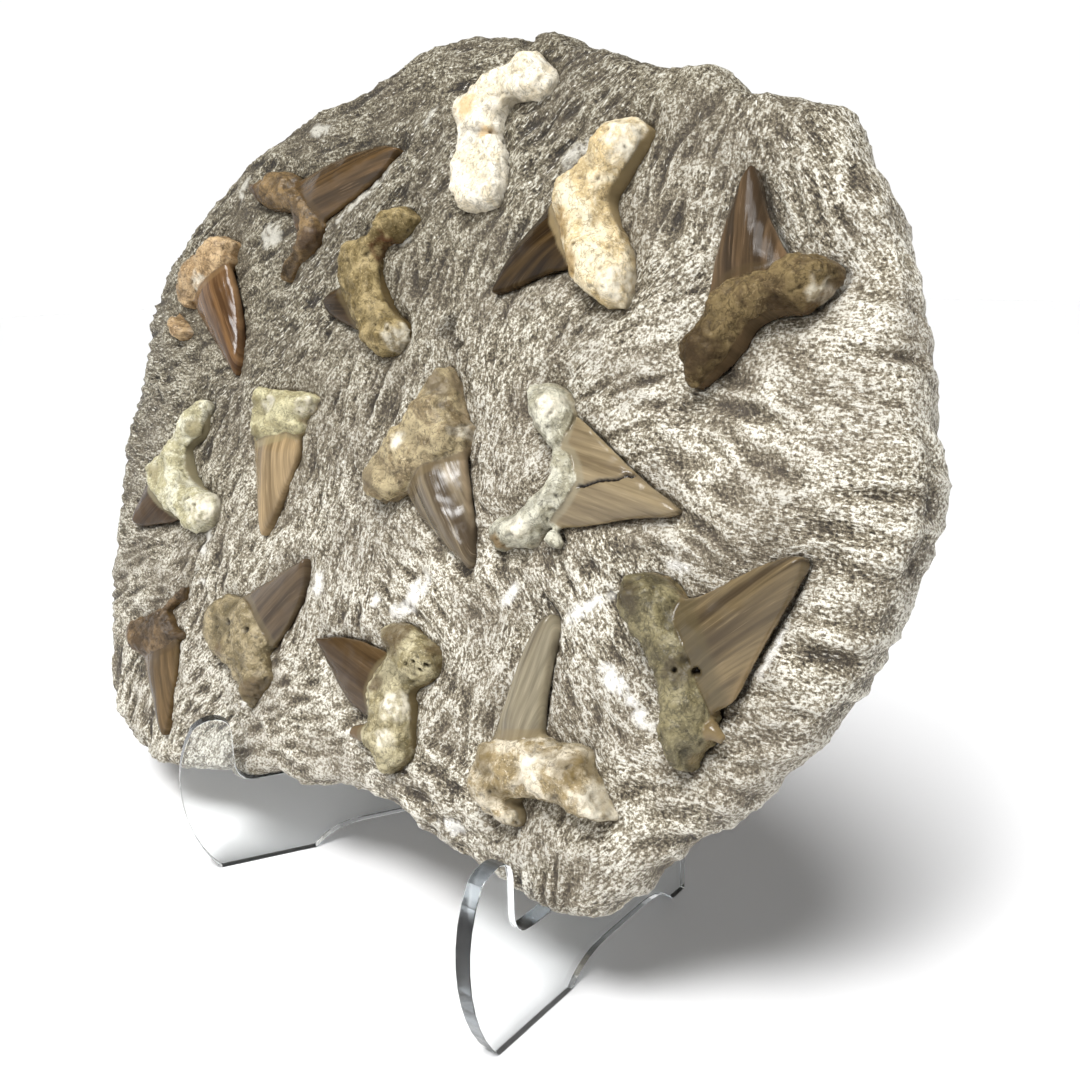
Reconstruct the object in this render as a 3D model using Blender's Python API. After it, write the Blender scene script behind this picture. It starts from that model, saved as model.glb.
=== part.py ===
"""A slab of sandy matrix with fifteen fossil shark teeth, leaning on two clear stand plates.

The slab has its own frame: u runs along the face to the right, v runs up the face, and h is
the height above the face. Points of the teeth are read where the eye sees them on the face,
and sight_line() takes each to its own height. All sizes are in millimetres until mesh level.
"""
import math

import bmesh
import bpy
from mathutils import Matrix, Vector, noise

MM = 0.001
GAP = 0.3                      # clearance left between touching pieces

# Slab
LEAN = math.radians(18)        # how far the face leans back
FACE_Y, FACE_Z = 10.0, 25.4    # where u = v = 0 lies: over the ledge of the stand plates
THICK = 26.0                   # face to back
CENTRE = (-10.0, 98.0)         # middle that the outline is swept round
SLAB_STEPS = 72                # corners round the slab
LUMP = 1.2                     # rise and fall of the face
CHIP = 2.6                     # how far the chiselled rim comes and goes
ROLL = 1.1                     # how much wider the rim rolls over at the lower right
ROLL_TURN = math.radians(20)   # how far below the right that is

# The slab's outline at its widest, going round from the right, in (u, v)
OUTLINE = [
    (122, 98), (121, 112), (117, 125), (113, 140), (106, 153), (98, 168), (91, 179),
    (82, 184), (68, 184), (58, 193), (42, 194), (24, 201), (8, 207), (-6, 206),
    (-22, 210), (-39, 209), (-51, 201), (-72, 197), (-94, 190), (-114, 180), (-133, 165),
    (-147, 148), (-153, 131), (-153, 113), (-156, 92), (-156, 78), (-151, 66), (-150, 48),
    (-145, 28), (-142, 12), (-130, -2), (-119, -7), (-106, -13), (-90, -8), (-74, -3),
    (-57, 0), (-38, 4), (-18, 9), (5, 8), (25, 6), (41, 4), (50, 7), (62, 0), (68, 6),
    (75, 15), (85, 26), (94, 36), (102, 47), (110, 59), (116, 70), (120, 84),
]

# Where the eye is in the slab's frame, for sight_line()
EYE_U, EYE_V, EYE_H = 198.7, 89.7, 189.3

# Stand plates
PLATE = 4.0                    # acrylic thickness
SPREAD = 112.0                 # front feet, left to right
SPLAY_LEFT = math.radians(25.8)
SPLAY_RIGHT = math.radians(-4.4)
LEFT_BACK = 2.7                # how far the left plate stands behind the right one
LEDGE_Z = 25.4
FOOT_FRONT = 27.0              # length of the front foot
FOOT_BACK = 6.0                # length of the rear foot
PLATE_DEPTH = 79.0
PLATE_TOP = 112.0
ARCH = 5.6                     # height of the hollow between the feet

# One row a tooth. root: (u, v, half width) along its ridge, as seen. crown: left base, right
# base, tip. bow: how far each edge swells. thick: half thickness of the crown at its base.
# cusps: (foot, tip, radius). flat: depth of the root over its width. high: height of its ridge.
TEETH = {
    "tooth_01": dict(
        root=[(-103, 170.5, 2.6), (-96, 169.5, 4.6), (-87, 169, 5.6), (-79, 165, 6.0),
              (-74, 158, 5.4), (-74, 151, 5.0), (-77, 147, 3.6), (-80, 145.5, 2.0)],
        crown=[(-80, 172), (-68, 157), (-39, 178.5)], bow=(2.0, 1.5), thick=4.2),
    "tooth_02": dict(
        root=[(-109, 153, 3.6), (-116, 151, 6.0), (-124, 147, 7.4), (-130, 140, 6.4),
              (-132, 132, 4.4), (-127, 126, 3.0)],
        crown=[(-124, 134), (-108, 150), (-93, 115)], bow=(0.0, 4.0), thick=4.6),
    "tooth_03": dict(
        root=[(-26, 157, 2.6), (-33, 158, 4.0), (-40, 154, 4.6), (-46, 148, 5.0),
              (-46, 141, 5.2), (-41, 135, 5.6), (-34, 129, 5.0), (-26, 125, 3.0)],
        crown=[(-38, 130), (-45, 145), (-56, 138)], bow=(0.5, 0.5), thick=3.4, high=3.0),
    "tooth_04": dict(
        root=[(12, 195, 4.6), (5, 194, 6.6), (-4, 191, 7.4), (-10, 186, 6.8),
              (-8, 179, 5.6), (-6, 172, 7.0), (-3, 166, 6.6), (0, 163, 3.6)],
        crown=[(-4, 170), (-4, 187), (-14, 179)], bow=(0.5, 0.5), thick=2.6, flat=0.6),
    "tooth_05": dict(
        root=[(44, 177, 4.6), (37, 174, 7.4), (32, 166, 8.0), (32, 158, 7.0),
              (37, 150, 7.0), (43, 144, 6.4), (48, 141, 3.6)],
        crown=[(34, 147), (27, 168), (8, 140)], bow=(0.5, 2.0), thick=4.4, high=3.0),
    "tooth_06": dict(
        root=[(98, 143, 3.4), (93, 145, 5.0), (87, 142, 5.6), (80, 140, 6.0),
              (74, 134, 6.4), (71, 127, 5.0), (70, 121, 2.6)],
        crown=[(67, 136), (89, 144), (74, 168)], bow=(2.0, 0.5), thick=5.0),
    "tooth_07": dict(
        root=[(-107, 103, 3.6), (-110, 95, 4.8), (-116, 87, 6.0), (-119, 80, 6.6),
              (-111, 75, 6.0), (-102, 71, 5.6), (-93, 70, 3.8)],
        crown=[(-106, 72), (-125, 82), (-136, 61)], bow=(0.5, 1.0), thick=3.8, high=3.0),
    "tooth_08": dict(
        root=[(-77, 106, 4.4), (-73, 104, 6.8), (-65, 104, 7.2), (-57, 105, 6.2),
              (-51, 108, 3.4)],
        crown=[(-79, 99), (-56, 99), (-65, 69)], bow=(1.5, 1.5), thick=5.0),
    "tooth_09": dict(
        root=[(-4, 120, 3.6), (-6, 113, 7.0), (-8, 104, 10.0), (-13, 96, 9.6), (-19, 89, 5.4)],
        crown=[(-13, 90), (8, 105), (18, 74)], bow=(0.5, 2.0), thick=6.0),
    "tooth_10": dict(
        root=[(30, 117, 3.6), (34, 111, 5.4), (38, 104, 4.8), (41, 98, 4.8),
              (39, 91, 5.4), (33, 86, 5.2), (26, 82, 4.2), (22, 81, 2.4)],
        crown=[(41, 112), (41, 86), (71, 95.5)], bow=(-1.0, 0.0), thick=4.4,
        cusps=[((40, 85), (46, 82), 2.4)]),
    "tooth_11": dict(
        root=[(-124, 28, 3.2), (-118, 29, 5.4), (-110, 33, 6.2), (-104, 39, 4.6),
              (-99, 45, 2.8)],
        crown=[(-117, 24), (-98, 33), (-98, 2)], bow=(-1.0, 1.5), thick=4.0),
    "tooth_12": dict(
        root=[(-81, 40, 5.0), (-76, 41, 7.4), (-69, 41, 8.6), (-62, 36, 8.0), (-58, 29, 6.6),
              (-57, 23, 4.0)],
        crown=[(-70, 47), (-50, 34), (-44, 64)], bow=(0.5, 2.0), thick=4.6),
    "tooth_13": dict(
        root=[(-1, 53, 3.4), (1, 49, 5.0), (2, 42, 7.0), (2, 34, 8.2), (3, 26, 7.0),
              (4, 21, 3.8)],
        crown=[(-1, 48), (-2, 30), (-33, 45.5)], bow=(2.0, 1.0), thick=3.8,
        cusps=[((-1, 29), (-13, 27), 3.6)]),
    "tooth_14": dict(
        root=[(68, 32, 3.4), (62, 35, 5.8), (54, 35, 5.2), (46, 34, 5.4), (38, 32, 6.6),
              (35, 26.5, 5.4), (41, 23.5, 4.0), (47, 22, 2.4)],
        crown=[(34, 36), (50, 38), (45, 68)], bow=(0.5, 0.5), thick=5.0, high=3.0),
    "tooth_15": dict(
        root=[(65, 79, 4.0), (68, 76, 6.4), (73, 71, 7.2), (78, 64, 7.0), (82, 56, 6.2),
              (86, 49, 4.0)],
        crown=[(73, 80), (94, 58), (101, 91)], bow=(1.5, 1.5), thick=5.4,
        cusps=[((90, 56), (93.5, 52), 2.2)]),
}
ROOT_FLAT = 0.85
ROOT_HIGH = 2.0
END_REACH, END_NARROW = 0.6, 0.5   # how a root's two ends round off
CROWN_HIGH = 0.5               # how far a crown's base stands above its root's ridge line
READ_AT = 3.0                  # height at which a root's ridge is read
TIP_HIGH = 1.6                 # height of a crown's tip
CROWN_STEPS = 5

# Plain colours: colour, roughness, metallic
FINISHES = {
    "matrix": ((0.42, 0.37, 0.31, 1), 0.9, 0.0),
    "enamel": ((0.23, 0.13, 0.07, 1), 0.25, 0.0),
    "root": ((0.55, 0.42, 0.26, 1), 0.7, 0.0),
    "acrylic": ((0.85, 0.9, 0.92, 1), 0.05, 0.0),
}


def clear_scene():
    """Remove the objects that the file starts with."""
    for item in list(bpy.data.objects):
        bpy.data.objects.remove(item)


def collection(name):
    made = bpy.data.collections.new(name)
    bpy.context.scene.collection.children.link(made)
    return made


def finish(name):
    """One plain material from FINISHES."""
    found = bpy.data.materials.get(name)
    if found:
        return found
    colour, rough, metal = FINISHES[name]
    made = bpy.data.materials.new(name)
    made.use_nodes = True
    shader = made.node_tree.nodes["Principled BSDF"]
    shader.inputs["Base Color"].default_value = colour
    shader.inputs["Roughness"].default_value = rough
    shader.inputs["Metallic"].default_value = metal
    return made


def place(u, v, h=0.0):
    """A point of the slab's frame in the object's frame, in millimetres."""
    y = FACE_Y + v * math.sin(LEAN) - h * math.cos(LEAN)
    z = FACE_Z + v * math.cos(LEAN) + h * math.sin(LEAN)
    return Vector((u, y, z))


def sight_line(u, v, h):
    """Move a point seen at (u, v) on the face along the line of sight to height h."""
    part = 1 - h / EYE_H
    return EYE_U + (u - EYE_U) * part, EYE_V + (v - EYE_V) * part


def add_object(name, mesh, home, materials):
    made = bpy.data.objects.new(name, mesh)
    home.objects.link(made)
    for material in materials:
        made.data.materials.append(finish(material))
    return made


def combine(target, tool, how):
    """Join or cut target with tool, and keep the result as target's mesh."""
    modifier = target.modifiers.new(how.lower(), "BOOLEAN")
    modifier.operation = how
    modifier.object = tool
    bpy.context.view_layer.update()
    graph = bpy.context.evaluated_depsgraph_get()
    result = bpy.data.meshes.new_from_object(target.evaluated_get(graph))
    target.modifiers.clear()
    target.data = result


def mend(item, distance):
    """Drop the slivers that a cut leaves, and triangulate what stays."""
    work = bmesh.new()
    work.from_mesh(item.data)
    bmesh.ops.dissolve_degenerate(work, edges=work.edges[:], dist=distance)
    bmesh.ops.triangulate(work, faces=work.faces[:])
    work.to_mesh(item.data)
    work.free()


def outline_radius(angle):
    """Distance from CENTRE to the outline in a direction, with straight runs between points."""
    direction = Vector((math.cos(angle), math.sin(angle)))
    points = [Vector(p) - Vector(CENTRE) for p in OUTLINE]
    for start, end in zip(points, points[1:] + points[:1]):
        side_a = direction.x * start.y - direction.y * start.x
        side_b = direction.x * end.y - direction.y * end.x
        if side_a <= 0 < side_b:
            share = side_a / (side_a - side_b)
            met = start.lerp(end, share)
            if met.dot(direction) > 0:
                return met.length
    return points[0].length


def rim_profile(step, steps):
    """Inset from the outline and depth below the face, from the front's middle to the back's."""
    rim = [(26, 0.0), (15, 0.5), (8, 1.2), (3.5, 2.8), (1, 6), (0, 11), (1, 17), (4, 22),
           (10, 25), (20, THICK)]
    inner = steps - len(rim) - 2
    if step < inner:
        return "share", step / inner, 0.0
    if step < inner + len(rim):
        return "inset", *rim[step - inner]
    return "share", (steps - step) / 3.0, THICK


def slab_point(angle, step, steps):
    """One corner of the slab: a direction round the outline and a step from front to back."""
    kind, value, depth = rim_profile(step, steps)
    reach = outline_radius(angle)
    front = depth < 11
    roll = 1.0 + ROLL * max(0.0, math.cos(angle + ROLL_TURN)) if front else 1.0
    if kind == "inset":
        radius = reach - value * roll
    else:
        radius = (reach - (26 * roll if front else 20)) * value
    u = CENTRE[0] + radius * math.cos(angle)
    v = CENTRE[1] + radius * math.sin(angle)
    if depth >= THICK - 0.1:
        return u, v, -THICK
    if kind == "inset":
        chip = CHIP * noise.noise(Vector((u / 11, v / 11, depth / 8)))
        u += chip * math.cos(angle)
        v += chip * math.sin(angle)
    swell = LUMP * noise.noise(Vector((u / 30, v / 30, 3.0)))
    return u, v, swell - depth


def make_slab(home):
    """The slab, drawn from a sphere whose rings become its face, rim and back."""
    steps = 20
    work = bmesh.new()
    bmesh.ops.create_uvsphere(work, u_segments=SLAB_STEPS, v_segments=steps, radius=1)
    for corner in work.verts:
        angle = math.atan2(corner.co.y, corner.co.x)
        step = round(math.acos(max(-1.0, min(1.0, corner.co.z))) / math.pi * steps)
        u, v, h = slab_point(angle, step, steps)
        corner.co = place(u, v, h) * MM
    bmesh.ops.triangulate(work, faces=work.faces[:])
    mesh = bpy.data.meshes.new("matrix_slab")
    work.to_mesh(mesh)
    work.free()
    return add_object("matrix_slab", mesh, home, ["matrix"])


def bezier(points, share):
    """A point on the Bezier curve through the first and last of three or four points."""
    row = [Vector(p) for p in points]
    while len(row) > 1:
        row = [a.lerp(b, share) for a, b in zip(row, row[1:])]
    return row[0]


def rounded_ends(ridge):
    """A root's ridge with a narrower point added past each end."""
    longer = list(ridge)
    for end, before, spot in ((ridge[0], ridge[1], 0), (ridge[-1], ridge[-2], len(ridge) + 1)):
        ahead = (Vector(end[:2]) - Vector(before[:2])).normalized()
        tip = Vector(end[:2]) + ahead * end[2] * END_REACH
        longer.insert(spot, (tip.x, tip.y, end[2] * END_NARROW))
    return longer


def root_curve(name, shape, grow, home):
    """A tooth's root: a bent tube of changing width, pressed flat."""
    data = bpy.data.curves.new(name, "CURVE")
    data.dimensions = "3D"
    data.twist_mode = "Z_UP"
    data.bevel_depth = MM
    data.bevel_resolution = 1
    data.use_fill_caps = True
    data.resolution_u = 1
    ridge = rounded_ends(shape["root"])
    line = data.splines.new("BEZIER")
    line.bezier_points.add(len(ridge) - 1)
    for knot, (u, v, half) in zip(line.bezier_points, ridge):
        seen_u, seen_v = sight_line(u, v, READ_AT)
        knot.co = (seen_u * MM, seen_v * MM, 0)
        knot.radius = half + grow
        knot.handle_left_type = "AUTO"
        knot.handle_right_type = "AUTO"
    curve = bpy.data.objects.new(name, data)
    home.objects.link(curve)
    bpy.context.view_layer.update()
    graph = bpy.context.evaluated_depsgraph_get()
    mesh = bpy.data.meshes.new_from_object(curve.evaluated_get(graph))
    bpy.data.objects.remove(curve)
    work = bmesh.new()
    work.from_mesh(mesh)
    bmesh.ops.remove_doubles(work, verts=work.verts[:], dist=0.00001)
    flat = shape.get("flat", ROOT_FLAT)
    high = shape.get("high", ROOT_HIGH)
    for corner in work.verts:
        u, v, h = corner.co / MM
        corner.co = place(u, v, high + h * flat) * MM
    bmesh.ops.recalc_face_normals(work, faces=work.faces[:])
    work.to_mesh(mesh)
    work.free()
    return add_object(name, mesh, home, ["root"])


def crown_ring(left, right, half_thick, height):
    """Six corners of a lens: two edges, and two shoulders above and below."""
    across = right - left
    ring = []
    for share, lift in ((0, 0), (0.3, 0.8), (0.7, 0.8), (1, 0), (0.7, -0.9), (0.3, -0.9)):
        spot = left + across * share
        ring.append(place(spot.x, spot.y, height + lift * half_thick) * MM)
    return ring


def crown_mesh(name, shape, grow):
    """A tooth's crown: a loft of shrinking lens sections, from inside the root to the tip."""
    base = shape.get("high", ROOT_HIGH) + CROWN_HIGH
    bow = shape["bow"]
    foot_l, foot_r, tip = shape["crown"]
    foot_l = Vector(sight_line(*foot_l, 1.5))
    foot_r = Vector(sight_line(*foot_r, 1.5))
    tip = Vector(sight_line(*tip, TIP_HIGH))
    middle = (foot_l + foot_r) / 2
    ahead = (tip - middle).normalized()
    across = (foot_r - foot_l).normalized()
    tip = tip + ahead * grow * 2
    foot_l = foot_l - across * grow - ahead * grow
    foot_r = foot_r + across * grow - ahead * grow
    bend_l = (foot_l + tip) / 2 - across * bow[0] * 2
    bend_r = (foot_r + tip) / 2 + across * bow[1] * 2
    work = bmesh.new()
    rings = []
    for step in range(CROWN_STEPS):
        share = step / CROWN_STEPS
        left = bezier((foot_l, bend_l, tip), share)
        right = bezier((foot_r, bend_r, tip), share)
        half = shape["thick"] * (1 - share) ** 0.8 + grow
        height = base * (1 - share) + TIP_HIGH * share
        rings.append([work.verts.new(co) for co in crown_ring(left, right, half, height)])
    for lower, upper in zip(rings, rings[1:]):
        for i in range(6):
            j = (i + 1) % 6
            work.faces.new((lower[i], lower[j], upper[j], upper[i]))
    point = work.verts.new(place(tip.x, tip.y, TIP_HIGH) * MM)
    for i in range(6):
        work.faces.new((rings[-1][i], rings[-1][(i + 1) % 6], point))
    work.faces.new(rings[0])
    bmesh.ops.recalc_face_normals(work, faces=work.faces[:])
    mesh = bpy.data.meshes.new(name)
    work.to_mesh(mesh)
    work.free()
    return mesh


def cusp_mesh(name, foot, tip, radius, grow):
    """A side cusp: a small cone lying on the face."""
    start = place(*sight_line(*foot, 1.5), 1.0)
    end = place(*sight_line(*tip, 1.5), 0.8)
    along = end - start
    length = along.length + 2 * grow
    work = bmesh.new()
    bmesh.ops.create_cone(work, cap_ends=True, segments=8, radius1=radius + grow,
                          radius2=0.3 + grow, depth=length)
    turn = along.to_track_quat("Z", "Y").to_matrix().to_4x4()
    shift = Matrix.Translation((start + end) / 2 * MM)
    scale = Matrix.Scale(MM, 4)
    bmesh.ops.transform(work, matrix=shift @ turn @ scale, verts=work.verts[:])
    mesh = bpy.data.meshes.new(name)
    work.to_mesh(mesh)
    work.free()
    return mesh


def make_tooth(name, shape, grow, home, spare):
    """One tooth in one piece: root, crown and side cusps. grow widens it for its pocket."""
    tooth = root_curve(name, shape, grow, home)
    adds = [crown_mesh(name + "_crown", shape, grow)]
    for foot, tip, radius in shape.get("cusps", []):
        adds.append(cusp_mesh(name + "_cusp", foot, tip, radius, grow))
    for mesh in adds:
        extra = add_object(mesh.name, mesh, spare, ["enamel"])
        combine(tooth, extra, "UNION")
        bpy.data.objects.remove(extra)
    return tooth


def hide_tool(item):
    item.hide_render = True
    item.display_type = "WIRE"


def trim_box(name, low, high, home):
    """A box cutter between two corners, in millimetres."""
    work = bmesh.new()
    bmesh.ops.create_cube(work, size=1)
    size = Vector(high) - Vector(low)
    middle = (Vector(high) + Vector(low)) / 2
    shape = Matrix.Translation(middle * MM) @ Matrix.Diagonal((*(size * MM), 1))
    bmesh.ops.transform(work, matrix=shape, verts=work.verts[:])
    mesh = bpy.data.meshes.new(name)
    work.to_mesh(mesh)
    work.free()
    tool = add_object(name, mesh, home, [])
    hide_tool(tool)
    return tool


def back_edge(height, splay):
    """How far back along a plate the slab's back is, at a height."""
    back = (THICK + GAP) / math.cos(LEAN) + (height - FACE_Z) * math.tan(LEAN)
    return (FACE_Y + back + PLATE * math.sin(splay)) / math.cos(splay)


def plate_outline():
    """The stand plate's outline as (along, up) points, hook first."""
    lean = math.tan(LEAN) / math.cos(SPLAY_LEFT)
    heel = back_edge(LEDGE_Z, SPLAY_LEFT) - LEFT_BACK
    top_front = heel + (PLATE_TOP - LEDGE_Z) * lean
    front = [(0, 0), (-8.5, 9), (-12.5, 30), (-4, 43)]
    nose = [(-4, 43), (-1, 46), (6.3, 46.5), (6.3, 40)]
    cradle = [(6.3, 32), (6.3, 28), (8, LEDGE_Z), (12, LEDGE_Z)]
    corner = [(heel - 3, LEDGE_Z), (heel, LEDGE_Z), (heel + 3 * lean, LEDGE_Z + 3)]
    crest = [(top_front - 4 * lean, PLATE_TOP - 4), (top_front, PLATE_TOP),
             (PLATE_DEPTH, PLATE_TOP), (PLATE_DEPTH, PLATE_TOP - 8)]
    arch_front = [(FOOT_FRONT, 0), (FOOT_FRONT + 5, ARCH), (FOOT_FRONT + 14, ARCH)]
    arch_back = [(PLATE_DEPTH - FOOT_BACK - 14, ARCH), (PLATE_DEPTH - FOOT_BACK - 5, ARCH),
                 (PLATE_DEPTH - FOOT_BACK, 0)]
    points = []
    for curve, steps in ((front, 10), (nose, 8), (cradle, 6), (corner, 4), (crest, 8)):
        points += [bezier(curve, step / steps) for step in range(steps + 1)]
    points.append(Vector((PLATE_DEPTH, 0)))
    for curve in (arch_back[::-1], arch_front[::-1]):
        points += [bezier(curve, step / 5) for step in range(6)]
    return points


def make_plate(name, foot_x, foot_y, splay, home):
    """One stand plate: its right-hand side stands on the line from its front foot."""
    data = bpy.data.curves.new(name, "CURVE")
    data.dimensions = "2D"
    data.fill_mode = "BOTH"
    data.extrude = PLATE / 2 * MM
    line = data.splines.new("POLY")
    outline = []
    for point in plate_outline():
        if not outline or (point - outline[-1]).length > 0.05:
            outline.append(point)
    line.points.add(len(outline) - 1)
    for knot, point in zip(line.points, outline):
        knot.co = (point.x * MM, point.y * MM, 0, 1)
    line.use_cyclic_u = True
    curve = bpy.data.objects.new(name, data)
    home.objects.link(curve)
    side = Vector((math.cos(splay), -math.sin(splay), 0)) * -PLATE / 2
    curve.location = (Vector((foot_x, foot_y, 0)) + side) * MM
    curve.rotation_euler = (math.pi / 2, 0, math.pi / 2 - splay)
    bpy.context.view_layer.update()
    graph = bpy.context.evaluated_depsgraph_get()
    mesh = bpy.data.meshes.new_from_object(curve.evaluated_get(graph))
    mesh.transform(curve.matrix_world)
    bpy.data.objects.remove(curve)
    work = bmesh.new()
    work.from_mesh(mesh)
    bmesh.ops.remove_doubles(work, verts=work.verts[:], dist=0.00001)
    bmesh.ops.recalc_face_normals(work, faces=work.faces[:])
    work.to_mesh(mesh)
    work.free()
    return add_object(name, mesh, home, ["acrylic"])


def stand_on_origin(pieces):
    """Shift every piece so that the origin is at the middle of the whole, on the table."""
    corners = [v.co for piece in pieces for v in piece.data.vertices]
    low = Vector([min(c[i] for c in corners) for i in range(3)])
    high = Vector([max(c[i] for c in corners) for i in range(3)])
    shift = Vector((-(low.x + high.x) / 2, -(low.y + high.y) / 2, -low.z))
    for piece in pieces:
        piece.data.transform(Matrix.Translation(shift))


def main():
    clear_scene()
    parts = collection("fossil_shark_tooth_in_matrix")
    tools = collection("cutters")
    slab = make_slab(parts)
    teeth = []
    for name, shape in TEETH.items():
        teeth.append(make_tooth(name, shape, 0.0, parts, tools))
        pocket = make_tooth(name + "_pocket", shape, GAP, tools, tools)
        hide_tool(pocket)
        combine(slab, pocket, "DIFFERENCE")
    for name, middle, half in (("ledge_left", -46, 15), ("ledge_right", 54, 9)):
        low = (middle - half, -20, -30)
        high = (middle + half, 80, LEDGE_Z + GAP)
        combine(slab, trim_box(name, low, high, tools), "DIFFERENCE")
    for piece in teeth + [slab]:
        mend(piece, 0.00002)
    left = make_plate("stand_left", -SPREAD / 2, LEFT_BACK, SPLAY_LEFT, parts)
    right = make_plate("stand_right", SPREAD / 2, 0.0, SPLAY_RIGHT, parts)
    stand_on_origin([slab, left, right] + teeth)


main()
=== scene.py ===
"""The looks of a slab of sandy matrix with fossil shark teeth, on two clear stand plates.

The slab has its own frame, in millimetres: u runs along the face to the right, v runs up the
face and h is the height above it. Each piece is shaped there as numpy points and then placed.
"""
import math

import bpy
import numpy as np
from mathutils import Matrix, Vector, noise
from mathutils.bvhtree import BVHTree
from mathutils.geometry import delaunay_2d_cdt


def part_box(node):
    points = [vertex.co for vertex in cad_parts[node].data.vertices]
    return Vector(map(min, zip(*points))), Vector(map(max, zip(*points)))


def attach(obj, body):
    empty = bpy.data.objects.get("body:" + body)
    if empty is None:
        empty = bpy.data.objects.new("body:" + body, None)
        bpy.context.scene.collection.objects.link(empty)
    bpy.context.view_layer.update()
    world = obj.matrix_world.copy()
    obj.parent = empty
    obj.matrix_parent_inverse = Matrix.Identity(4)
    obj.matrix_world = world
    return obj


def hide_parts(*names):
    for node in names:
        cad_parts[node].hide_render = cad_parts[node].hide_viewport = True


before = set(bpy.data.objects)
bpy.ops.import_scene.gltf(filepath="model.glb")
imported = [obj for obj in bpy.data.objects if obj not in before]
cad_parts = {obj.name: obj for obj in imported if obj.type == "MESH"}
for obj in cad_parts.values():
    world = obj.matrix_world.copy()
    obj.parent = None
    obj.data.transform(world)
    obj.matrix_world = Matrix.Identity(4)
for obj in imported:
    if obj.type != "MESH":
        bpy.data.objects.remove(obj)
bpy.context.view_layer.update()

MM = 0.001

# The slab's frame, as the CAD has it
LEAN = math.radians(18)
FACE_Y, FACE_Z = 10.0, 25.4
THICK = 26.0
CENTRE = np.array((-10.0, 98.0))
COLUMNS = 72                   # corners round the CAD slab
LUMP, LUMP_SIZE = 1.2, 30.0    # the CAD face's rise and fall
LUMP_LAYER = 3.0               # where its noise is cut
ROLL, ROLL_TURN = 1.1, math.radians(20)    # how much wider the rim rolls over, and where
EYE = np.array((198.7, 89.7, 189.3))

# Where the slab's frame lies: from the right stand plate, whose foot is its landmark
SPREAD = 112.0
SPLAY_RIGHT = math.radians(4.4)
PLATE = 4.0
HOOK = 8.7                     # how far a plate's hook stands in front of its foot
PLATE_LOW, PLATE_HIGH = (np.array(corner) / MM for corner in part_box("stand_right"))
SHIFT_X = PLATE_HIGH[0] - SPREAD / 2 - HOOK * math.sin(SPLAY_RIGHT)
SHIFT_Y = PLATE_LOW[1] + HOOK * math.cos(SPLAY_RIGHT) + PLATE * math.sin(SPLAY_RIGHT)

# Ledges: the slab is flat where it stands on the plates. Middle and half width in x
LEDGES = ((-46, 15), (54, 9))
LEDGE_Z = 25.7

# Camera, in the landmark's frame
SENSOR = 36.0
LENS = 1100 / 1080 * SENSOR    # the focal length is 1100 of the photo's 1080 pixels
EYE_PLACE = (198.75, -142.35, 169.26)
YAW, PITCH, TURN = math.radians(42.04), math.radians(-14.99), math.radians(-1.04)

# Light, with places in metres, and the floor
SUN_FROM, SUN_STRENGTH, SUN_SOFTNESS = (0.1, -0.44, 1.0), 3.1, math.radians(30)
LAMP_FROM, LAMP_AT = (0.14, -0.42, 0.66), (0.02, 0, 0.09)
LAMP_SIZE, LAMP_POWER = 0.18, 2.5
SKY_LOW, SKY_HIGH = (0.3, 1.02), (0.5, 0.05)    # upward part of the view, and brightness
FLOOR_HALF, FLOOR_TONE = 3.0, (0.95, 0.95, 0.955, 1)

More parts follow.
